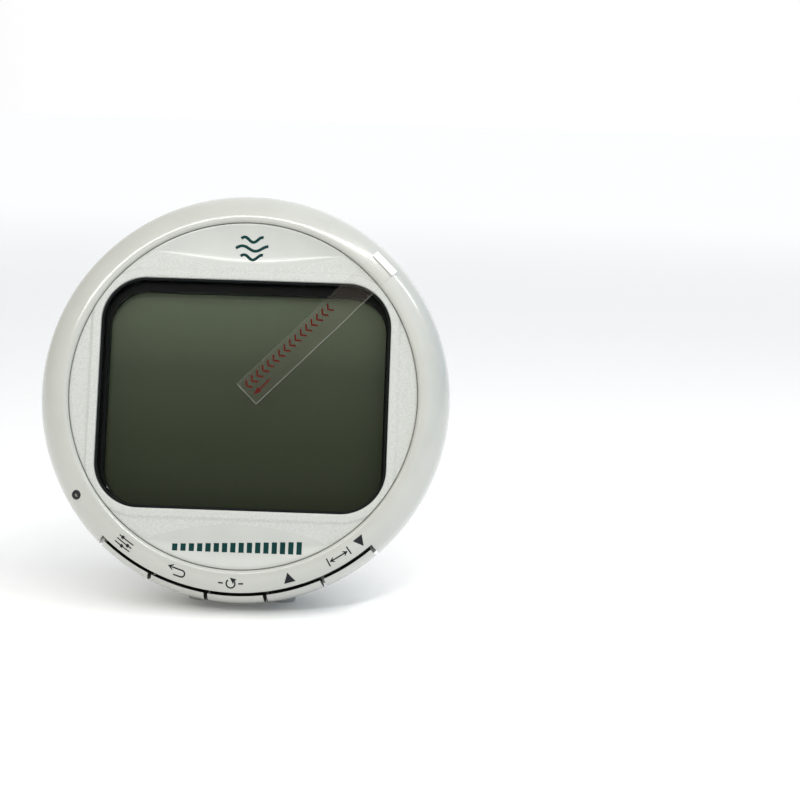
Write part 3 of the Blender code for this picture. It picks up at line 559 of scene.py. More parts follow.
def rounded_rectangle(half, radius, centre=(0.0, 0.0), steps=24, side_steps=10):
    """Outline with round corners and evenly split sides, starting at the right-hand side's top."""
    signs = ((1, 1), (-1, 1), (-1, -1), (1, -1))
    corners = []
    for quarter, (side_x, side_y) in enumerate(signs):
        middle = (centre[0] + side_x * (half[0] - radius), centre[1] + side_y * (half[1] - radius))
        start = quarter * math.pi / 2
        corners.append(arc(radius, start, start + math.pi / 2, steps, middle))
    points = []
    for here, after in zip(corners, corners[1:] + corners[:1]):
        points += here
        for step in range(1, side_steps):
            share = step / side_steps
            points.append(tuple(a + (b - a) * share for a, b in zip(here[-1], after[0])))
    return points


def window_outline(grow):
    """The window's outline, grown outwards by a distance."""
    half = (WINDOW_HALF[0] + grow, WINDOW_HALF[1] + grow)
    return rounded_rectangle(half, WINDOW_CORNER + grow)


def raise_outline(outline, height):
    return [(x, y, height) for x, y in outline]


def carve(obj, tools, operation="DIFFERENCE"):
    """Apply Booleans with each tool mesh in turn, then drop the tools."""
    helpers = []
    for number, mesh in enumerate(tools):
        helper = bpy.data.objects.new(f"{obj.name}_tool_{number}", mesh)
        bpy.context.scene.collection.objects.link(helper)
        helper.matrix_world = obj.matrix_world
        modifier = obj.modifiers.new("carve", "BOOLEAN")
        modifier.operation = operation
        modifier.object = helper
        modifier.solver = "EXACT"
        helpers.append(helper)
    bpy.context.view_layer.update()
    graph = bpy.context.evaluated_depsgraph_get()
    carved = bpy.data.meshes.new_from_object(obj.evaluated_get(graph))
    obj.modifiers.clear()
    obj.data = carved
    for helper in helpers:
        bpy.data.objects.remove(helper)
    carved.shade_smooth()
    carved.set_sharp_from_angle(angle=math.radians(35))


def soften(obj, width, segments=3, angle=50.0):
    """Round off the edges sharper than an angle."""
    bevel = obj.modifiers.new("soften", "BEVEL")
    bevel.width = width * MM
    bevel.segments = segments
    bevel.limit_method = "ANGLE"
    bevel.angle_limit = math.radians(angle)
    bevel.harden_normals = True


def prism(outline, low, high):
    """Closed mesh of a flat outline between two heights."""
    builder = bmesh.new()
    skin(builder, [raise_outline(outline, low), raise_outline(outline, high)], caps=True)
    return finish_mesh("tool", builder)


def barrel(radius, centre, axis, length, count=32):
    """Closed cylinder about its centre along an axis."""
    builder = bmesh.new()
    radius *= MM
    bmesh.ops.create_cone(
        builder, cap_ends=True, segments=count, radius1=radius, radius2=radius, depth=length * MM
    )
    turn = Vector(axis).to_track_quat("Z", "Y").to_matrix().to_4x4()
    place = Matrix.Translation(Vector(centre) * MM) @ turn
    bmesh.ops.transform(builder, matrix=place, verts=builder.verts)
    return finish_mesh("tool", builder)


def slab(size, centre):
    """Closed box about its centre."""
    builder = bmesh.new()
    bmesh.ops.create_cube(builder, size=1.0)
    bmesh.ops.scale(builder, vec=Vector(size) * MM, verts=builder.verts)
    bmesh.ops.transform(builder, matrix=Matrix.Translation(Vector(centre) * MM), verts=builder.verts)
    return finish_mesh("tool", builder)


def sector(inner, outer, middle, half_angle, steps):
    """Outline of a ring's sector, about the angle at its middle."""
    outline = arc(outer, middle - half_angle, middle + half_angle, steps)
    return outline + arc(inner, middle + half_angle, middle - half_angle, steps)


# ---- front ring ----


def dome_height(radius, inset=0.0):
    """Height of the domed face at a radius, flat inside the crest."""
    reach = max(radius - CREST_RADIUS, 0.0) / (OUTER_RADIUS - inset - CREST_RADIUS)
    return (CREST_HEIGHT - inset) * max(1.0 - reach**DOME_POWER, 0.0) ** (1.0 / DOME_POWER)


def dome_points(first_radius, steps, inset=0.0):
    """(radius, height) points down the dome, from a first radius to the rim."""
    rim = OUTER_RADIUS - inset
    reach = max(first_radius - CREST_RADIUS, 0.0) / (rim - CREST_RADIUS)
    start = math.asin(reach ** (DOME_POWER / 2))
    points = []
    for step in range(steps + 1):
        angle = start + (math.pi / 2 - start) * step / steps
        radius = CREST_RADIUS + (rim - CREST_RADIUS) * math.sin(angle) ** (2 / DOME_POWER)
        points.append((radius, dome_height(radius, inset)))
    return points


def button_slot(inner):
    """Outline of the slot that the row of buttons fills."""
    half_angle = len(BUTTONS) / 2 * BUTTON_PITCH + 0.5 * BUTTON_SIDE_GAP / OUTER_RADIUS
    return sector(inner, SLOT_OUTER, -math.pi / 2, half_angle, SLOT_STEPS)


def front_ring():
    """Domed ring: rolled inner lip, button slot along the bottom and the indicator hole."""
    lip = []
    for step in range(9):
        angle = math.pi / 2 * step / 8
        lip.append((
            CREST_RADIUS - (CREST_RADIUS - RING_BORE) * math.cos(angle),
            CREST_HEIGHT - LIP_DROP * (1 - math.sin(angle)),
        ))
    inner = [point for point in dome_points(CREST_RADIUS, 14, RING_WALL) if point[0] > INNER_DOME_START]
    ledge = [
        (LEDGE_RADIUS, LEDGE_LOW),
        (LEDGE_BORE, LEDGE_LOW),
        (LEDGE_BORE, LEDGE_TOP),
        (RING_BORE, LEDGE_TOP),
    ]
    profile = lip + dome_points(CREST_RADIUS, 30)[1:] + inner[::-1] + ledge
    builder = bmesh.new()
    skin(builder, spin(profile, full_turn(COLUMNS)), ring=True)
    ring = piece("ring_shell", finish_mesh("ring_shell", builder), PEARL)
    slot = prism(button_slot(SLOT_INNER), -2, 14)
    hole = barrel(INDICATOR_HOLE, (INDICATOR_X, INDICATOR_Y, 8), (0, 0, 1), 16, 40)
    carve(ring, [slot, hole])
    soften(ring, 0.22, 2)
    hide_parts("front_ring")


# ---- front panel ----


def outside_window(x, y):
    """Distance from a point to the window's outline, positive outside it."""
    dx = abs(x) - (WINDOW_HALF[0] - WINDOW_CORNER)
    dy = abs(y) - (WINDOW_HALF[1] - WINDOW_CORNER)
    outside = math.hypot(max(dx, 0.0), max(dy, 0.0))
    return outside + min(max(dx, dy), 0.0) - WINDOW_CORNER


def smooth(value):
    """Soft step from 0 to 1."""
    value = min(max(value, 0.0), 1.0)
    return value * value * (3 - 2 * value)


def inside_dish(x, y, dish):
    """Distance inside the arc that bounds a dish, positive in the dish."""
    centre_y, radius = dish
    return radius - math.hypot(x, y - centre_y)


def dish_depth(x, y, dish, slopes, depth):
    """Depth of a scooped crescent: it falls from its arc and from the rim to a soft bottom."""
    inside = inside_dish(x, y, dish)
    from_rim = PANEL_RADIUS - DISH_MARGIN - math.hypot(x, y)
    if inside <= 0 or from_rim <= 0 or y * dish[0] <= 0:
        return 0.0
    parts = (inside * slopes[0], from_rim * slopes[1], depth)
    return sum(part**-DISH_SOFTNESS for part in parts) ** (-1 / DISH_SOFTNESS)


def panel_height(x, y):
    """Height of the panel's face, with its platform, dishes and rounded edges."""
    beyond = outside_window(x, y)
    height = PANEL_FACE + PLATFORM_RISE * (1 - smooth((beyond - PLATFORM_RIM) / PLATFORM_SLOPE + 0.5))
    height -= dish_depth(x, y, TOP_DISH, TOP_SLOPES, TOP_DEPTH)
    height -= dish_depth(x, y, BOTTOM_DISH, BOTTOM_SLOPES, BOTTOM_DEPTH)
    from_rim = PANEL_RADIUS - math.hypot(x, y)
    for edge, radius in ((beyond, WINDOW_ROUNDING), (from_rim, PANEL_ROUNDING)):
        if edge < radius:
            height -= radius - math.sqrt(max(radius**2 - (radius - max(edge, 0.0)) ** 2, 0.0))
    return height


def crossing(angle, test, start, end):
    """Radius along a ray at which test turns positive, by bisection."""
    if test(end * math.cos(angle), end * math.sin(angle)) <= 0:
        return end
    for _ in range(BISECTIONS):
        middle = (start + end) / 2
        if test(middle * math.cos(angle), middle * math.sin(angle)) > 0:
            end = middle
        else:
            start = middle
    return end


def panel_stations(angle):
    """Radii along a ray where the panel has a feature: window, platform's edge, dish and rim."""
    window = crossing(angle, outside_window, PANEL_MIDDLE, PANEL_RADIUS)
    brow = PLATFORM_RIM - PLATFORM_SLOPE / 2
    foot = PLATFORM_RIM + PLATFORM_SLOPE / 2
    top = crossing(angle, lambda x, y: outside_window(x, y) - brow, window, PANEL_RADIUS)
    foot = crossing(angle, lambda x, y: outside_window(x, y) - foot, window, PANEL_RADIUS)
    dish = TOP_DISH if math.sin(angle) > 0 else BOTTOM_DISH
    scoop = crossing(angle, lambda x, y: inside_dish(x, y, dish), window, PANEL_RADIUS)
    stations = [
        window,
        window + WINDOW_ROUNDING,
        top,
        foot,
        scoop,
        PANEL_RADIUS - PANEL_ROUNDING,
        PANEL_RADIUS,
    ]
    for i in range(1, len(stations)):
        stations[i] = max(stations[i], stations[i - 1] + ROW_GAP)
    for i in range(len(stations) - 2, -1, -1):
        limit = PANEL_RADIUS - ROW_GAP * (len(stations) - 1 - i)
        stations[i] = min(stations[i], limit)
    stations[-1] = PANEL_RADIUS
    return stations


def front_panel():
    """Silver panel: textured field, raised platform round the window and two smooth dishes."""
    angles = full_turn(PANEL_COLUMNS)
    columns = []
    for angle in angles:
        radii = []
        stations = panel_stations(angle)
        for near, far, count in zip(stations, stations[1:], PANEL_ROWS):
            radii += [near + (far - near) * step / count for step in range(count)]
        columns.append(radii + [stations[-1]])
    loops = []
    for row in range(len(columns[0])):
        loop = []
        for angle, radii in zip(angles, columns):
            x, y = radii[row] * math.cos(angle), radii[row] * math.sin(angle)
            loop.append((x, y, panel_height(x, y)))
        loops.append(loop)
    loops.append([(x, y, PANEL_BACK) for x, y, _ in loops[-1]])
    loops.append([(x, y, PANEL_BACK) for x, y, _ in loops[0]])
    builder = bmesh.new()
    skin(builder, loops, ring=True)
    for face in builder.faces:
        x, y, _ = face.calc_center_median() / MM
        dish = TOP_DISH if y > 0 else BOTTOM_DISH
        face.material_index = 1 if inside_dish(x, y, dish) > 0 else 0
    mesh = finish_mesh("panel_relief", builder, 50)
    panel = piece("panel_relief", mesh, [SILVER_TEXTURED, SILVER_SMOOTH])
    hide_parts("front_panel")


# ---- display window ----


def gasket():
    """Rounded rubber bead between the panel and the lens."""
    section = [(-GASKET_GAP, LENS_BACK), (-GASKET_GAP, LENS_FACE)]
    bead = arc(GASKET_WIDTH / 2, 0, math.pi, 8, (-GASKET_GAP - GASKET_WIDTH / 2, LENS_FACE))
    section += bead[1:] + [(-GASKET_GAP - GASKET_WIDTH, LENS_BACK)]
    builder = bmesh.new()
    skin(builder, [raise_outline(window_outline(grow), height) for grow, height in section], ring=True)
    bead_piece = piece("gasket_bead", finish_mesh("gasket_bead", builder), RUBBER)
    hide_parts("lens_gasket")


def lens():
    """Clear window with a small polished chamfer."""
    edge = -2 * GASKET_GAP - GASKET_WIDTH
    loops = [
        raise_outline(window_outline(edge), LENS_BACK),
        raise_outline(window_outline(edge), LENS_FACE - LENS_CHAMFER),
        raise_outline(window_outline(edge - LENS_CHAMFER), LENS_FACE),
    ]
    builder = bmesh.new()
    skin(builder, loops, caps=True)
    window = piece("lens_window", finish_mesh("lens_window", builder), LENS)
    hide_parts("display_lens")


def display_frame():
    """Black surround of the display, with a sloped inner edge and a pocket for the glass."""
    outside = rounded_rectangle(FRAME_HALF, FRAME_CORNER)

    def opening(grow):
        half = (OPENING_HALF[0] + grow, OPENING_HALF[1] + grow)
        return rounded_rectangle(half, OPENING_CORNER + grow, OPENING_SHIFT)

    loops = [
        raise_outline(outside, FRAME_BACK),
        raise_outline(outside, FRAME_FACE),
        raise_outline(opening(OPENING_BEVEL), FRAME_FACE),
        raise_outline(opening(0.0), FRAME_FACE - OPENING_BEVEL),
        raise_outline(opening(0.0), FRAME_BACK),
    ]
    builder = bmesh.new()
    skin(builder, loops, ring=True)
    mesh = finish_mesh("display_surround", builder)
    surround = piece("display_surround", mesh, DISPLAY_BLACK)
    carve(surround, [slab(GLASS_POCKET, GLASS_POCKET_CENTRE)])
    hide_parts("display_frame")


# ---- pull-tab film ----


def film_height(distance):
    """Underside of the film: flat on the lens, a soft step up to the panel, then over the crest."""
    x = FILM_START[0] + distance * math.cos(FILM_ANGLE)
    y = FILM_START[1] + distance * math.sin(FILM_ANGLE)
    radius = math.hypot(x, y)
    lens_top = LENS_FACE + FILM_LENS_CLEARANCE
    panel_top = PANEL_FACE + PLATFORM_RISE + FILM_PANEL_CLEARANCE
    step = smooth((distance - FILM_STEP_START) / FILM_STEP_LENGTH)
    height = lens_top + (panel_top - lens_top) * step
    fall = FILM_END_SLOPE * max(radius - CREST_RADIUS, 0.0)
    over_crest = CREST_HEIGHT + FILM_LENS_CLEARANCE - fall
    return height + (over_crest - height) * smooth((radius - FILM_CREST_START) / FILM_CREST_LENGTH)


def film_place():
    """Place of the film's own frame: X along the strip from its lower end."""
    aim = Matrix.Rotation(FILM_ANGLE, 4, "Z")
    return INSTRUMENT @ Matrix.Translation((FILM_START[0] * MM, FILM_START[1] * MM, 0)) @ aim


def film_strip(name, start, end, low, high, material):
    """Thin strip of the film between two lengths and two widths."""
    steps = max(2, round(end - start))
    loops = []
    for step in range(steps + 1):
        along = start + (end - start) * step / steps
        base = film_height(along)
        top = base + FILM_THICKNESS
        loops.append([(along, low, base), (along, high, base), (along, high, top), (along, low, top)])
    builder = bmesh.new()
    skin(builder, loops, caps=True)
    return piece(name, finish_mesh(name, builder), material, place=film_place())


def ribbon(builder, path, widths, place, lift=0.03, depth=0.05):
    """Thin flat stroke along a path of (u, v), laid on a surface by place(u, v, lift)."""
    points = []
    spans = []
    for start, end, near, far in zip(path, path[1:], widths, widths[1:]):
        steps = max(1, math.ceil(math.dist(start, end) / STROKE_STEP))
        for step in range(steps):
            share = step / steps
            points.append(tuple(a + (b - a) * share for a, b in zip(start, end)))
            spans.append(near + (far - near) * share)
    points.append(path[-1])
    spans.append(widths[-1])
    loops = []
    for i, (u, v) in enumerate(points):
        before = points[max(i - 1, 0)]
        after = points[min(i + 1, len(points) - 1)]
        length = math.dist(before, after)
        side_u = -(after[1] - before[1]) / length * spans[i] / 2
        side_v = (after[0] - before[0]) / length * spans[i] / 2
        left = (u + side_u, v + side_v)
        right = (u - side_u, v - side_v)
        bottom = lift - depth
        loops.append([place(*left, lift), place(*right, lift), place(*right, bottom), place(*left, bottom)])
    skin(builder, loops, caps=True)


def print_marks(name, strokes, place, material, world=INSTRUMENT):
    """One piece for a set of printed strokes, each a path with its widths."""
    builder = bmesh.new()
    for path, widths in strokes:
        if not isinstance(widths, (list, tuple)):
            widths = [widths] * len(path)
        ribbon(builder, path, widths, place)
    return piece(name, finish_mesh(name, builder), material, place=world)


def on_film(u, v, lift):
    """Lay marks on the film, in its own frame."""
    return (u, v, film_height(u) + FILM_THICKNESS + lift)


def film():
    """Clear strip whose edges carry painted highlights, brighter along its lower edge, with a white grip at
    its end, and a printed arrow and chevrons.
    """
    side = FILM_HALF_WIDTH
    edge = FILM_EDGE_WIDTH
    neck = FILM_LENGTH - FILM_GRIP_LENGTH
    main = film_strip("film_clear", edge, neck, -side + edge, side - edge, FILM)
    # The edge strips carry painted highlights, brighter on the lower edge than on the upper one.
    film_strip("film_edge_low_highlight", edge, neck, -side, -side + edge, FILM_EDGE_HIGHLIGHT)
    film_strip("film_edge_high_highlight", edge, neck, side - edge, side, FILM_EDGE_FAINT_HIGHLIGHT)
    film_strip("film_edge_end_highlight", 0, edge, -side, side, FILM_EDGE_HIGHLIGHT)
    film_strip("film_grip", neck, FILM_LENGTH, -side, side, FILM_GRIP)
    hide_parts("pull_tab_film")
    chevrons = []
    for number in range(CHEVRONS):
        u = CHEVRON_FIRST + number * CHEVRON_PITCH
        back = u + CHEVRON_REACH
        chevrons.append(([(back, 3.0), (u, 1.65), (back, 0.3)], CHEVRON_STROKE))
    arrow = [
        ([(8.0, ARROW_V), (3.2, ARROW_V)], 0.42),
        ([(3.7, ARROW_V), (1.5, ARROW_V)], [1.8, TIP_WIDTH]),
    ]
    print_marks("film_print", chevrons + arrow, on_film, PRINT_RED, film_place())


# ---- markings ----


def on_panel(centre_x, centre_y):
    """Lay marks on the panel about a centre."""
    def place(u, v, lift):
        x, y = centre_x + u, centre_y + v
        return (x, y, panel_height(x, y) + lift)
    return place


def on_ring(angle_degrees):
    """Lay marks along the ring's lower part, upright towards the face's centre."""
    def place(u, v, lift):
        at = math.radians(angle_degrees) + u / MARK_RADIUS
        r = MARK_RADIUS - v
        return (r * math.cos(at), r * math.sin(at), dome_height(r) + lift)
    return place


def wave(height, length, phase, steps=28):
    """Path of a wavy line about a height."""
    path = []
    for step in range(steps + 1):
        swing = math.sin(phase + math.tau * WAVE_TURNS * step / steps)
        path.append((length * (step / steps - 0.5), height + WAVE_RISE * swing))
    return path


def symbol_strokes():
    """Strokes of each symbol on the ring, as paths with widths, in the order they are made."""
    sliders = []
    for height, knob in ((1.1, -1.3), (0.0, 1.2), (-1.1, -0.2)):
        sliders.append(([(-2.6, height), (2.6, height)], 0.34))
        sliders.append(([(knob - 0.4, height), (knob + 0.4, height)], 0.95))

    bend = arc(0.95, math.pi / 2, -math.pi / 2, 12, (1.6, 0.15))
    back_arrow = [
        ([(-1.6, 1.1)] + bend + [(-0.6, -0.8)], 0.42),
        ([(-1.2, 1.1), (-2.9, 1.1)], [1.9, TIP_WIDTH]),
    ]

    turn = arc(1.25, math.radians(60), math.radians(-230), 28)
    tip = turn[0]
    circle_arrow = [
        (turn, 0.42),
        ([(tip[0] + 0.55, tip[1] - 0.5), (tip[0] - 0.9, tip[1] + 0.6)], [1.7, TIP_WIDTH]),
        ([(-3.6, 0.0), (-2.2, 0.0)], 0.42),
        ([(2.2, 0.0), (3.6, 0.0)], 0.42),
    ]

    span = [
        ([(-3.4, -1.25), (-3.4, 1.25)], 0.4),
        ([(3.4, -1.25), (3.4, 1.25)], 0.4),
        ([(-2.0, 0.0), (2.0, 0.0)], 0.38),
        ([(-1.6, 0.0), (-3.0, 0.0)], [1.6, TIP_WIDTH]),
        ([(1.6, 0.0), (3.0, 0.0)], [1.6, TIP_WIDTH]),
    ]
    return {
        "set": sliders,
        "escape": back_arrow,
        "reset": circle_arrow,
        "up": [([(0.0, -1.4), (0.0, 1.5)], [3.3, TIP_WIDTH])],
        "span": span,
        "down": [([(0.0, 1.4), (0.0, -1.5)], [3.3, TIP_WIDTH])],
    }


def markings():
    """Generic marks: air waves, a rising scale, and a symbol for each button."""
    waves = []
    for height, length, phase in ((2.6, 6.5, 0.4), (0.0, 9.5, 0.0), (-2.6, 6.5, 0.4)):
        waves.append((wave(height, length, phase), WAVE_STROKE))
    print_marks("air_waves", waves, on_panel(*WAVES_AT), PRINT_TEAL)
    bars = []
    for number in range(SCALE_BARS):
        u = (number - (SCALE_BARS - 1) / 2) * SCALE_PITCH
        rise = SCALE_HEIGHT + SCALE_GROWTH * number / (SCALE_BARS - 1)
        bars.append(([(u, SCALE_BASE), (u, SCALE_BASE + rise)], SCALE_STROKE))
    print_marks("rising_scale", bars, on_panel(*SCALE_AT), PRINT_TEAL)
    for label, strokes in symbol_strokes().items():
        print_marks(f"mark_{label}", strokes, on_ring(MARK_ANGLES[label]), PRINT_GREY)


# ---- buttons ----


def shade_gaps(cap, middle):
    """Darker material on a cap's inner wall, side walls and shoulder, which line the gaps: painted shade
    where the gaps fall into shadow.
    """
    cap.data.materials.append(GAP_SHADE)
    inward = Vector((-math.cos(middle), -math.sin(middle), 0))
    sideways = Vector((-math.sin(middle), math.cos(middle), 0))
    for face in cap.data.polygons:
        walls = face.normal.dot(inward) > 0.9 or abs(face.normal.dot(sideways)) > 0.9
        floor = face.normal.z > 0.9 and face.center.z < (BUTTON_SHOULDER + 0.1) * MM
        if (walls or floor) and face.center.z > BUTTON_BACK * MM * 0.9:
            face.material_index = 1


def push_buttons():
    """Five caps cut from the rim's own dome, each with the arm and hammer behind it."""
    profile = dome_points(LIP_RADIUS, 18) + [
        (BUTTON_REAR_RADIUS, BUTTON_BACK),
        (BUTTON_HOLLOW, BUTTON_BACK),
        (BUTTON_HOLLOW, BUTTON_SHOULDER),
        (LIP_RADIUS, BUTTON_SHOULDER),
    ]
    half_angle = (BUTTON_PITCH - BUTTON_SIDE_GAP / OUTER_RADIUS) / 2
    for number, label in enumerate(BUTTONS):
        middle = -math.pi / 2 + (number - 2) * BUTTON_PITCH
        angles = [middle - half_angle + 2 * half_angle * step / 16 for step in range(17)]
        builder = bmesh.new()
        skin(builder, spin(profile, angles), caps=True)
        mesh = finish_mesh(f"cap_{label}", builder)
        cap = piece(f"cap_{label}", mesh, PEARL, f"key_{label}")
        arm = sector(*ARM_RADII, middle, ARM_HALF_WIDTH / OUTER_RADIUS, 4)
        hammer = sector(*HAMMER_RADII, middle, ARM_HALF_WIDTH / OUTER_RADIUS, 4)
        carve(cap, [prism(arm, *ARM_HEIGHTS), prism(hammer, *HAMMER_HEIGHTS)], "UNION")
        shade_gaps(cap, middle)
        soften(cap, 0.3, 3)
        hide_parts(f"button_{label}")


# ---- rear cover ----


def cover_points(inset, first_height, steps=16):
    """(radius, height) points from the cover's front edge round the bend to its back."""
    centre = (COVER_WAIST - COVER_BEND, -COVER_EDGE)
    bend = arc(COVER_BEND - inset, 0.0, -math.pi / 2, steps, centre)
    return [(COVER_RADIUS - inset, first_height)] + bend


def rear_cover():
    """Drafted shell with a flat back, vents, screw wells, an inlet slot and hinge ears."""
    front_edge = -GAP
    inner = [(CENTRE_FLAT, BACK_FACE + COVER_WALL)] + cover_points(COVER_WALL, front_edge, 8)[::-1]
    outer = cover_points(0.0, front_edge) + [(CENTRE_FLAT, BACK_FACE)]
    builder = bmesh.new()
    rows = skin(builder, spin(inner + outer, full_turn(COLUMNS)), around=False, ring=True)
    builder.faces.new([row[0] for row in rows])
    builder.faces.new([row[-1] for row in rows][::-1])
    cover = piece("cover_shell", finish_mesh("cover_shell", builder), REAR_PLASTIC)

    additions = []
    removals = [prism(button_slot(COVER_SLOT_INNER), BUTTON_BACK - COVER_SLOT_GAP, 3)]
    for side in (-1, 1):
        x = side * EAR_X
        additions.append(slab(EAR_SIZE, (x, HINGE_Y, HINGE_Z + EAR_SIZE[2] / 2)))
        additions.append(barrel(EAR_RADIUS, (x, HINGE_Y, HINGE_Z), (1, 0, 0), EAR_SIZE[0], 48))
    for x, y in SCREW_PLACES:
        additions.append(barrel(POST_RADIUS, (x, y, POST_MIDDLE), (0, 0, 1), POST_LENGTH, 40))
        removals.append(barrel(SCREW_BORE, (x, y, -15), (0, 0, 1), 40, 32))
        removals.append(barrel(WELL_RADIUS, (x, y, BACK_FACE), (0, 0, 1), WELL_LENGTH, 48))
    for number in range(VENTS):
        vent_y = VENT_MIDDLE + (number - (VENTS - 1) / 2) * VENT_PITCH
        vent = rounded_rectangle(VENT_HALF, VENT_CORNER, (0.0, vent_y), 6, 1)
        removals.append(prism(vent, BACK_FACE - 1, BACK_FACE + 3))
    inlet = rounded_rectangle(INLET_HALF, INLET_CORNER, (0.0, 0.0), 6, 1)
    builder = bmesh.new()
    skin(builder, [[(x, y, INLET_Z + z) for y, z in inlet] for x in INLET_FROM_TO], caps=True)
    removals.append(finish_mesh("tool", builder))
    removals.append(barrel(EAR_BORE, (0, HINGE_Y, HINGE_Z), (1, 0, 0), 44, 32))
    carve(cover, additions, "UNION")
    carve(cover, removals)
    soften(cover, 0.3, 2, 55)
    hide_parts("rear_cover")


# ---- stand and feet ----


def stand():
    """Fold-out leg with softened edges, a shallow panel, a row of grip grooves and a rolled tip."""
    hinge_above_desk = DESK_DROP + HINGE_Y * math.cos(LEAN_BACK) + HINGE_Z * math.sin(LEAN_BACK)
    length = (hinge_above_desk - LEG_TIP_RADIUS) / math.cos(STAND_ANGLE - LEAN_BACK)
    clearance = BACK_FACE - HINGE_Z - GAP
    heel = (clearance - LEG_THICKNESS / 2 * math.cos(STAND_ANGLE)) / math.sin(STAND_ANGLE)
    outline = [
        (-LEG_TOP_HALF, heel),
        (-LEG_TIP_HALF, -length),
        (LEG_TIP_HALF, -length),
        (LEG_TOP_HALF, heel),
    ]
    back = -LEG_THICKNESS / 2
    hinge_place = Matrix.Translation((0, HINGE_Y * MM, HINGE_Z * MM))
    place = INSTRUMENT @ hinge_place @ Matrix.Rotation(STAND_ANGLE, 4, "X")
    mesh = prism(outline, back, LEG_THICKNESS / 2)
    leg = piece("leg_plate", mesh, REAR_PLASTIC, "stand", place)
    knuckle = barrel(KNUCKLE_RADIUS, (0, 0, 0), (1, 0, 0), KNUCKLE_LENGTH, 48)
    tip = barrel(LEG_TIP_RADIUS, (0, -length, 0), (1, 0, 0), 2 * LEG_TIP_HALF, 40)
    carve(leg, [knuckle, tip], "UNION")
    removals = [barrel(LEG_BORE, (0, 0, 0), (1, 0, 0), 40, 32)]
    for number in range(GRIPS):
        groove_y = -length + GRIP_FIRST + number * GRIP_PITCH
        groove = rounded_rectangle(GRIP_HALF, GRIP_CORNER, (0.0, groove_y), 6, 1)
        removals.append(prism(groove, back - 1, back + GRIP_DEPTH))
    panel = rounded_rectangle(LEG_PANEL_HALF, LEG_PANEL_CORNER, (0.0, -length * LEG_PANEL_SHARE), 8, 1)
    removals.append(prism(panel, back - 1, back + LEG_PANEL_DEPTH))
    carve(leg, removals)
    soften(leg, 0.3, 3, 40)
    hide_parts("stand_leg")


def indicator():
    """Dark sleeve round the light guide, and a grey disc at its middle that is a painted highlight for the
    glint on the guide's dome.
    """
    x, y = INDICATOR_X, INDICATOR_Y
    top = dome_height(INDICATOR_RADIUS)
    bore, outer = SLEEVE_RADII
    bottom = top - SLEEVE_DEPTH
    profile = [(bore, bottom), (bore, top - 0.6), (outer, top - 0.5), (outer, bottom)]
    builder = bmesh.new()
    loops = [[(x + u, y + v, z) for u, v, z in loop] for loop in spin(profile, full_turn(40))]
    skin(builder, loops, ring=True)
    mesh = finish_mesh("indicator_sleeve", builder)
    piece("indicator_sleeve", mesh, BLACK_PLASTIC)
    # A grey disc in the guide: a painted highlight for the glint on its dome.
    glint_disc = barrel(0.5, (x, y, top - 0.80), (0.2, 0.1, 1), 0.1, 32)
    piece("indicator_painted_glint", glint_disc, GUIDE_PAINTED_GLINT)


def foot_sleeves():
    """Round off the rubber feet's edges, and keep their measured shape."""
    for name in ("foot_left", "foot_right"):
        soften(NODES[name], 0.35, 3, 60)


# ---- measured pieces' materials ----


def paint(material, *names):
    """Give measured pieces a material in place of their plain one."""
    for name in names:
        slots = NODES[name].data.materials
        if slots:
            slots[0] = material
        else:
            slots.append(material)


def paint_packed_nodes():
    """Materials for the pieces that keep their measured shape."""
    board = moulded("solder_mask", (0.012, 0.11, 0.045), 0.35, 0.3, 1.2, 0.03, Coat_Weight=0.4)
    steel = moulded("plated_steel", (0.58, 0.59, 0.60), 0.28, 0.06, 0.6, 0.006, 1.0)
    gold = moulded("gilded_metal", (0.78, 0.55, 0.20), 0.22, 0.08, 0.8, 0.01, 1.0)
    resin = moulded("chip_resin", (0.02, 0.02, 0.022), 0.45, 0.2, 0.2, 0.01)
    diffuser = moulded("milky_diffuser", (0.82, 0.84, 0.80), 0.45, 0.03)
    contact = moulded("contact_rubber", (0.30, 0.31, 0.32), 0.65, 0.1, 0.3, 0.02)
    membrane = moulded("dust_membrane", (0.86, 0.86, 0.84), 0.8, 0.05, 0.15, 0.05)
    bulb = clear("bulb_glass", (0.9, 0.88, 0.8), 0.05, Alpha=0.4)
    # Painted light and reflection on the display glass: lighter towards its top.
    paint(display_olive_painted_light(), "display_glass")
    paint(diffuser, "display_backlight", "status_lamp")
    paint(contact, "contact_strip_top", "contact_strip_bottom")
    paint(board, "main_board", "sensor_board")
    paint(resin, "processor_chip", "humidity_sensor", "sensor_header")
    paint(BLACK_PLASTIC, "alarm_buzzer", *(f"switch_body_{label}" for label in BUTTONS))
    paint(gold, "sensor_chamber")
    paint(steel, "power_inlet", "timing_crystal", "smoothing_capacitor", "sensor_detector", "stand_pin")
    paint(steel, *(f"housing_screw_{number}" for number in range(1, 5)))
    paint(steel, *(f"board_screw_{number}" for number in range(1, 5)))
    paint(steel, *(f"switch_plunger_{label}" for label in BUTTONS))
    paint(bulb, "sensor_lamp")
    paint(membrane, "sensor_dust_filter")
    paint(FOOT_RUBBER, "foot_left", "foot_right")
    paint(GUIDE, "light_guide")


# ---- studio ----


def floor_paper():
    """White paper that grows lighter far from the object, to meet the sky without a line."""
    material = moulded("floor_paper", (0.95, 0.95, 0.945), 0.7, 0.01, 2.0, 0.02)
    nodes = material.node_tree.nodes
    links = material.node_tree.links
    coordinates = nodes.new("ShaderNodeTexCoord")
    length = nodes.new("ShaderNodeVectorMath")
    length.operation = "LENGTH"
    spread = nodes.new("ShaderNodeMapRange")
    spread.interpolation_type = "SMOOTHSTEP"
    spread.inputs["From Min"].default_value = FLOOR_NEAR
    spread.inputs["From Max"].default_value = FLOOR_FAR
    spread.inputs["To Min"].default_value = FLOOR_GLOW_NEAR
    spread.inputs["To Max"].default_value = FLOOR_GLOW_FAR
    links.new(coordinates.outputs["Object"], length.inputs[0])
    links.new(length.outputs["Value"], spread.inputs["Value"])
    links.new(spread.outputs["Result"], shader_of(material).inputs["Emission Strength"])
    return material


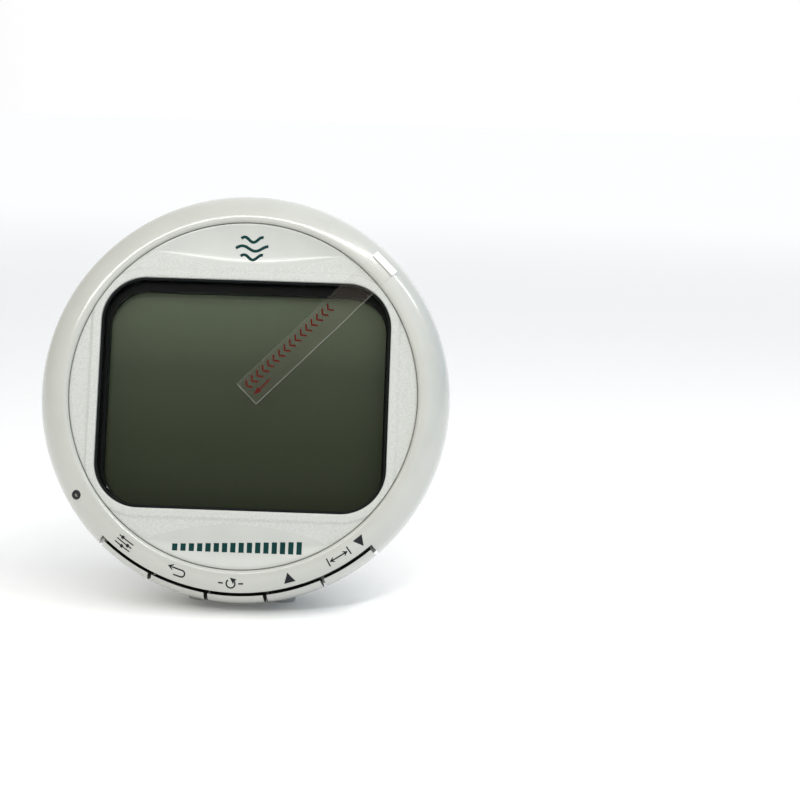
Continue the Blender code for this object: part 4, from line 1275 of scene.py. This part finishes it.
def studio():
    """Paper floor, a pale sky that is bluish at the right and dim in one part, and a bent lamp."""
    mesh = bpy.data.meshes.new("floor")
    builder = bmesh.new()
    bmesh.ops.create_circle(builder, cap_ends=True, segments=96, radius=FLOOR_RADIUS)
    builder.to_mesh(mesh)
    builder.free()
    mesh.materials.append(floor_paper())
    floor = bpy.data.objects.new("floor", mesh)
    bpy.context.scene.collection.objects.link(floor)

    world = bpy.data.worlds.new("studio")
    world.use_nodes = True
    nodes = world.node_tree.nodes
    links = world.node_tree.links
    coordinates = nodes.new("ShaderNodeTexCoord")
    split = nodes.new("ShaderNodeSeparateXYZ")
    spread = nodes.new("ShaderNodeMapRange")
    spread.inputs["From Min"].default_value = -1.0
    ramp = nodes.new("ShaderNodeValToRGB")
    fill_ramp(ramp, WORLD_TINTS)
    links.new(coordinates.outputs["Generated"], split.inputs["Vector"])
    links.new(split.outputs["X"], spread.inputs["Value"])
    links.new(spread.outputs["Result"], ramp.inputs["Fac"])
    toward = nodes.new("ShaderNodeVectorMath")
    toward.operation = "DOT_PRODUCT"
    toward.inputs[1].default_value = DIM_TOWARDS
    shade = nodes.new("ShaderNodeMapRange")
    shade.interpolation_type = "SMOOTHSTEP"
    shade.inputs["From Min"].default_value = DIM_EDGE
    shade.inputs["From Max"].default_value = DIM_CORE
    shade.inputs["To Min"].default_value = WORLD_STRENGTH
    shade.inputs["To Max"].default_value = WORLD_STRENGTH * DIM_SHADE
    links.new(coordinates.outputs["Generated"], toward.inputs[0])
    links.new(toward.outputs["Value"], shade.inputs["Value"])
    links.new(shade.outputs["Result"], nodes["Background"].inputs["Strength"])
    links.new(ramp.outputs["Color"], nodes["Background"].inputs["Color"])
    bpy.context.scene.world = world
    bpy.context.scene.view_settings.view_transform = "Standard"

    for number, (start, end) in enumerate(zip(LAMP_BENDS, LAMP_BENDS[1:])):
        lamp_tube(f"lamp_{number}", start, end)


def lamp_tube(name, start, end):
    """Straight tube lamp between two directions from the object, facing it."""
    start, end = Vector(start) * LAMP_DISTANCE, Vector(end) * LAMP_DISTANCE
    along = (end - start).normalized()
    toward = -(start + end).normalized()
    upward = along.cross(toward).normalized()
    light = bpy.data.lights.new(name, "AREA")
    light.shape = "RECTANGLE"
    light.size = (end - start).length
    light.size_y = LAMP_WIDTH
    light.energy = LAMP_POWER * light.size * light.size_y
    light.color = LAMP_COLOR
    obj = bpy.data.objects.new(name, light)
    turn = Matrix((along, upward, along.cross(upward))).transposed().to_4x4()
    obj.matrix_world = Matrix.Translation(LAMP_AIM + (start + end) / 2) @ turn
    bpy.context.scene.collection.objects.link(obj)


def camera():
    """Camera with a long lens, slightly above, and the object at the left of its view."""
    data = bpy.data.cameras.new("camera")
    data.sensor_width = SENSOR_WIDTH
    data.lens = FOCAL_LENGTH
    view = bpy.data.objects.new("camera", data)
    view.location = CAMERA_PLACE
    swing = Matrix.Rotation(-math.radians(CAMERA_HEADING), 3, "Z")
    tilt = Matrix.Rotation(math.pi / 2 + math.radians(CAMERA_PITCH), 3, "X")
    roll = Matrix.Rotation(-math.radians(CAMERA_ROLL), 3, "Z")
    turn = swing @ tilt @ roll
    view.rotation_euler = turn.to_euler()
    bpy.context.scene.collection.objects.link(view)
    bpy.context.scene.camera = view


camera()
studio()
front_ring()
front_panel()
gasket()
lens()
display_frame()
film()
markings()
push_buttons()
rear_cover()
stand()
foot_sleeves()
indicator()
paint_packed_nodes()
settle()
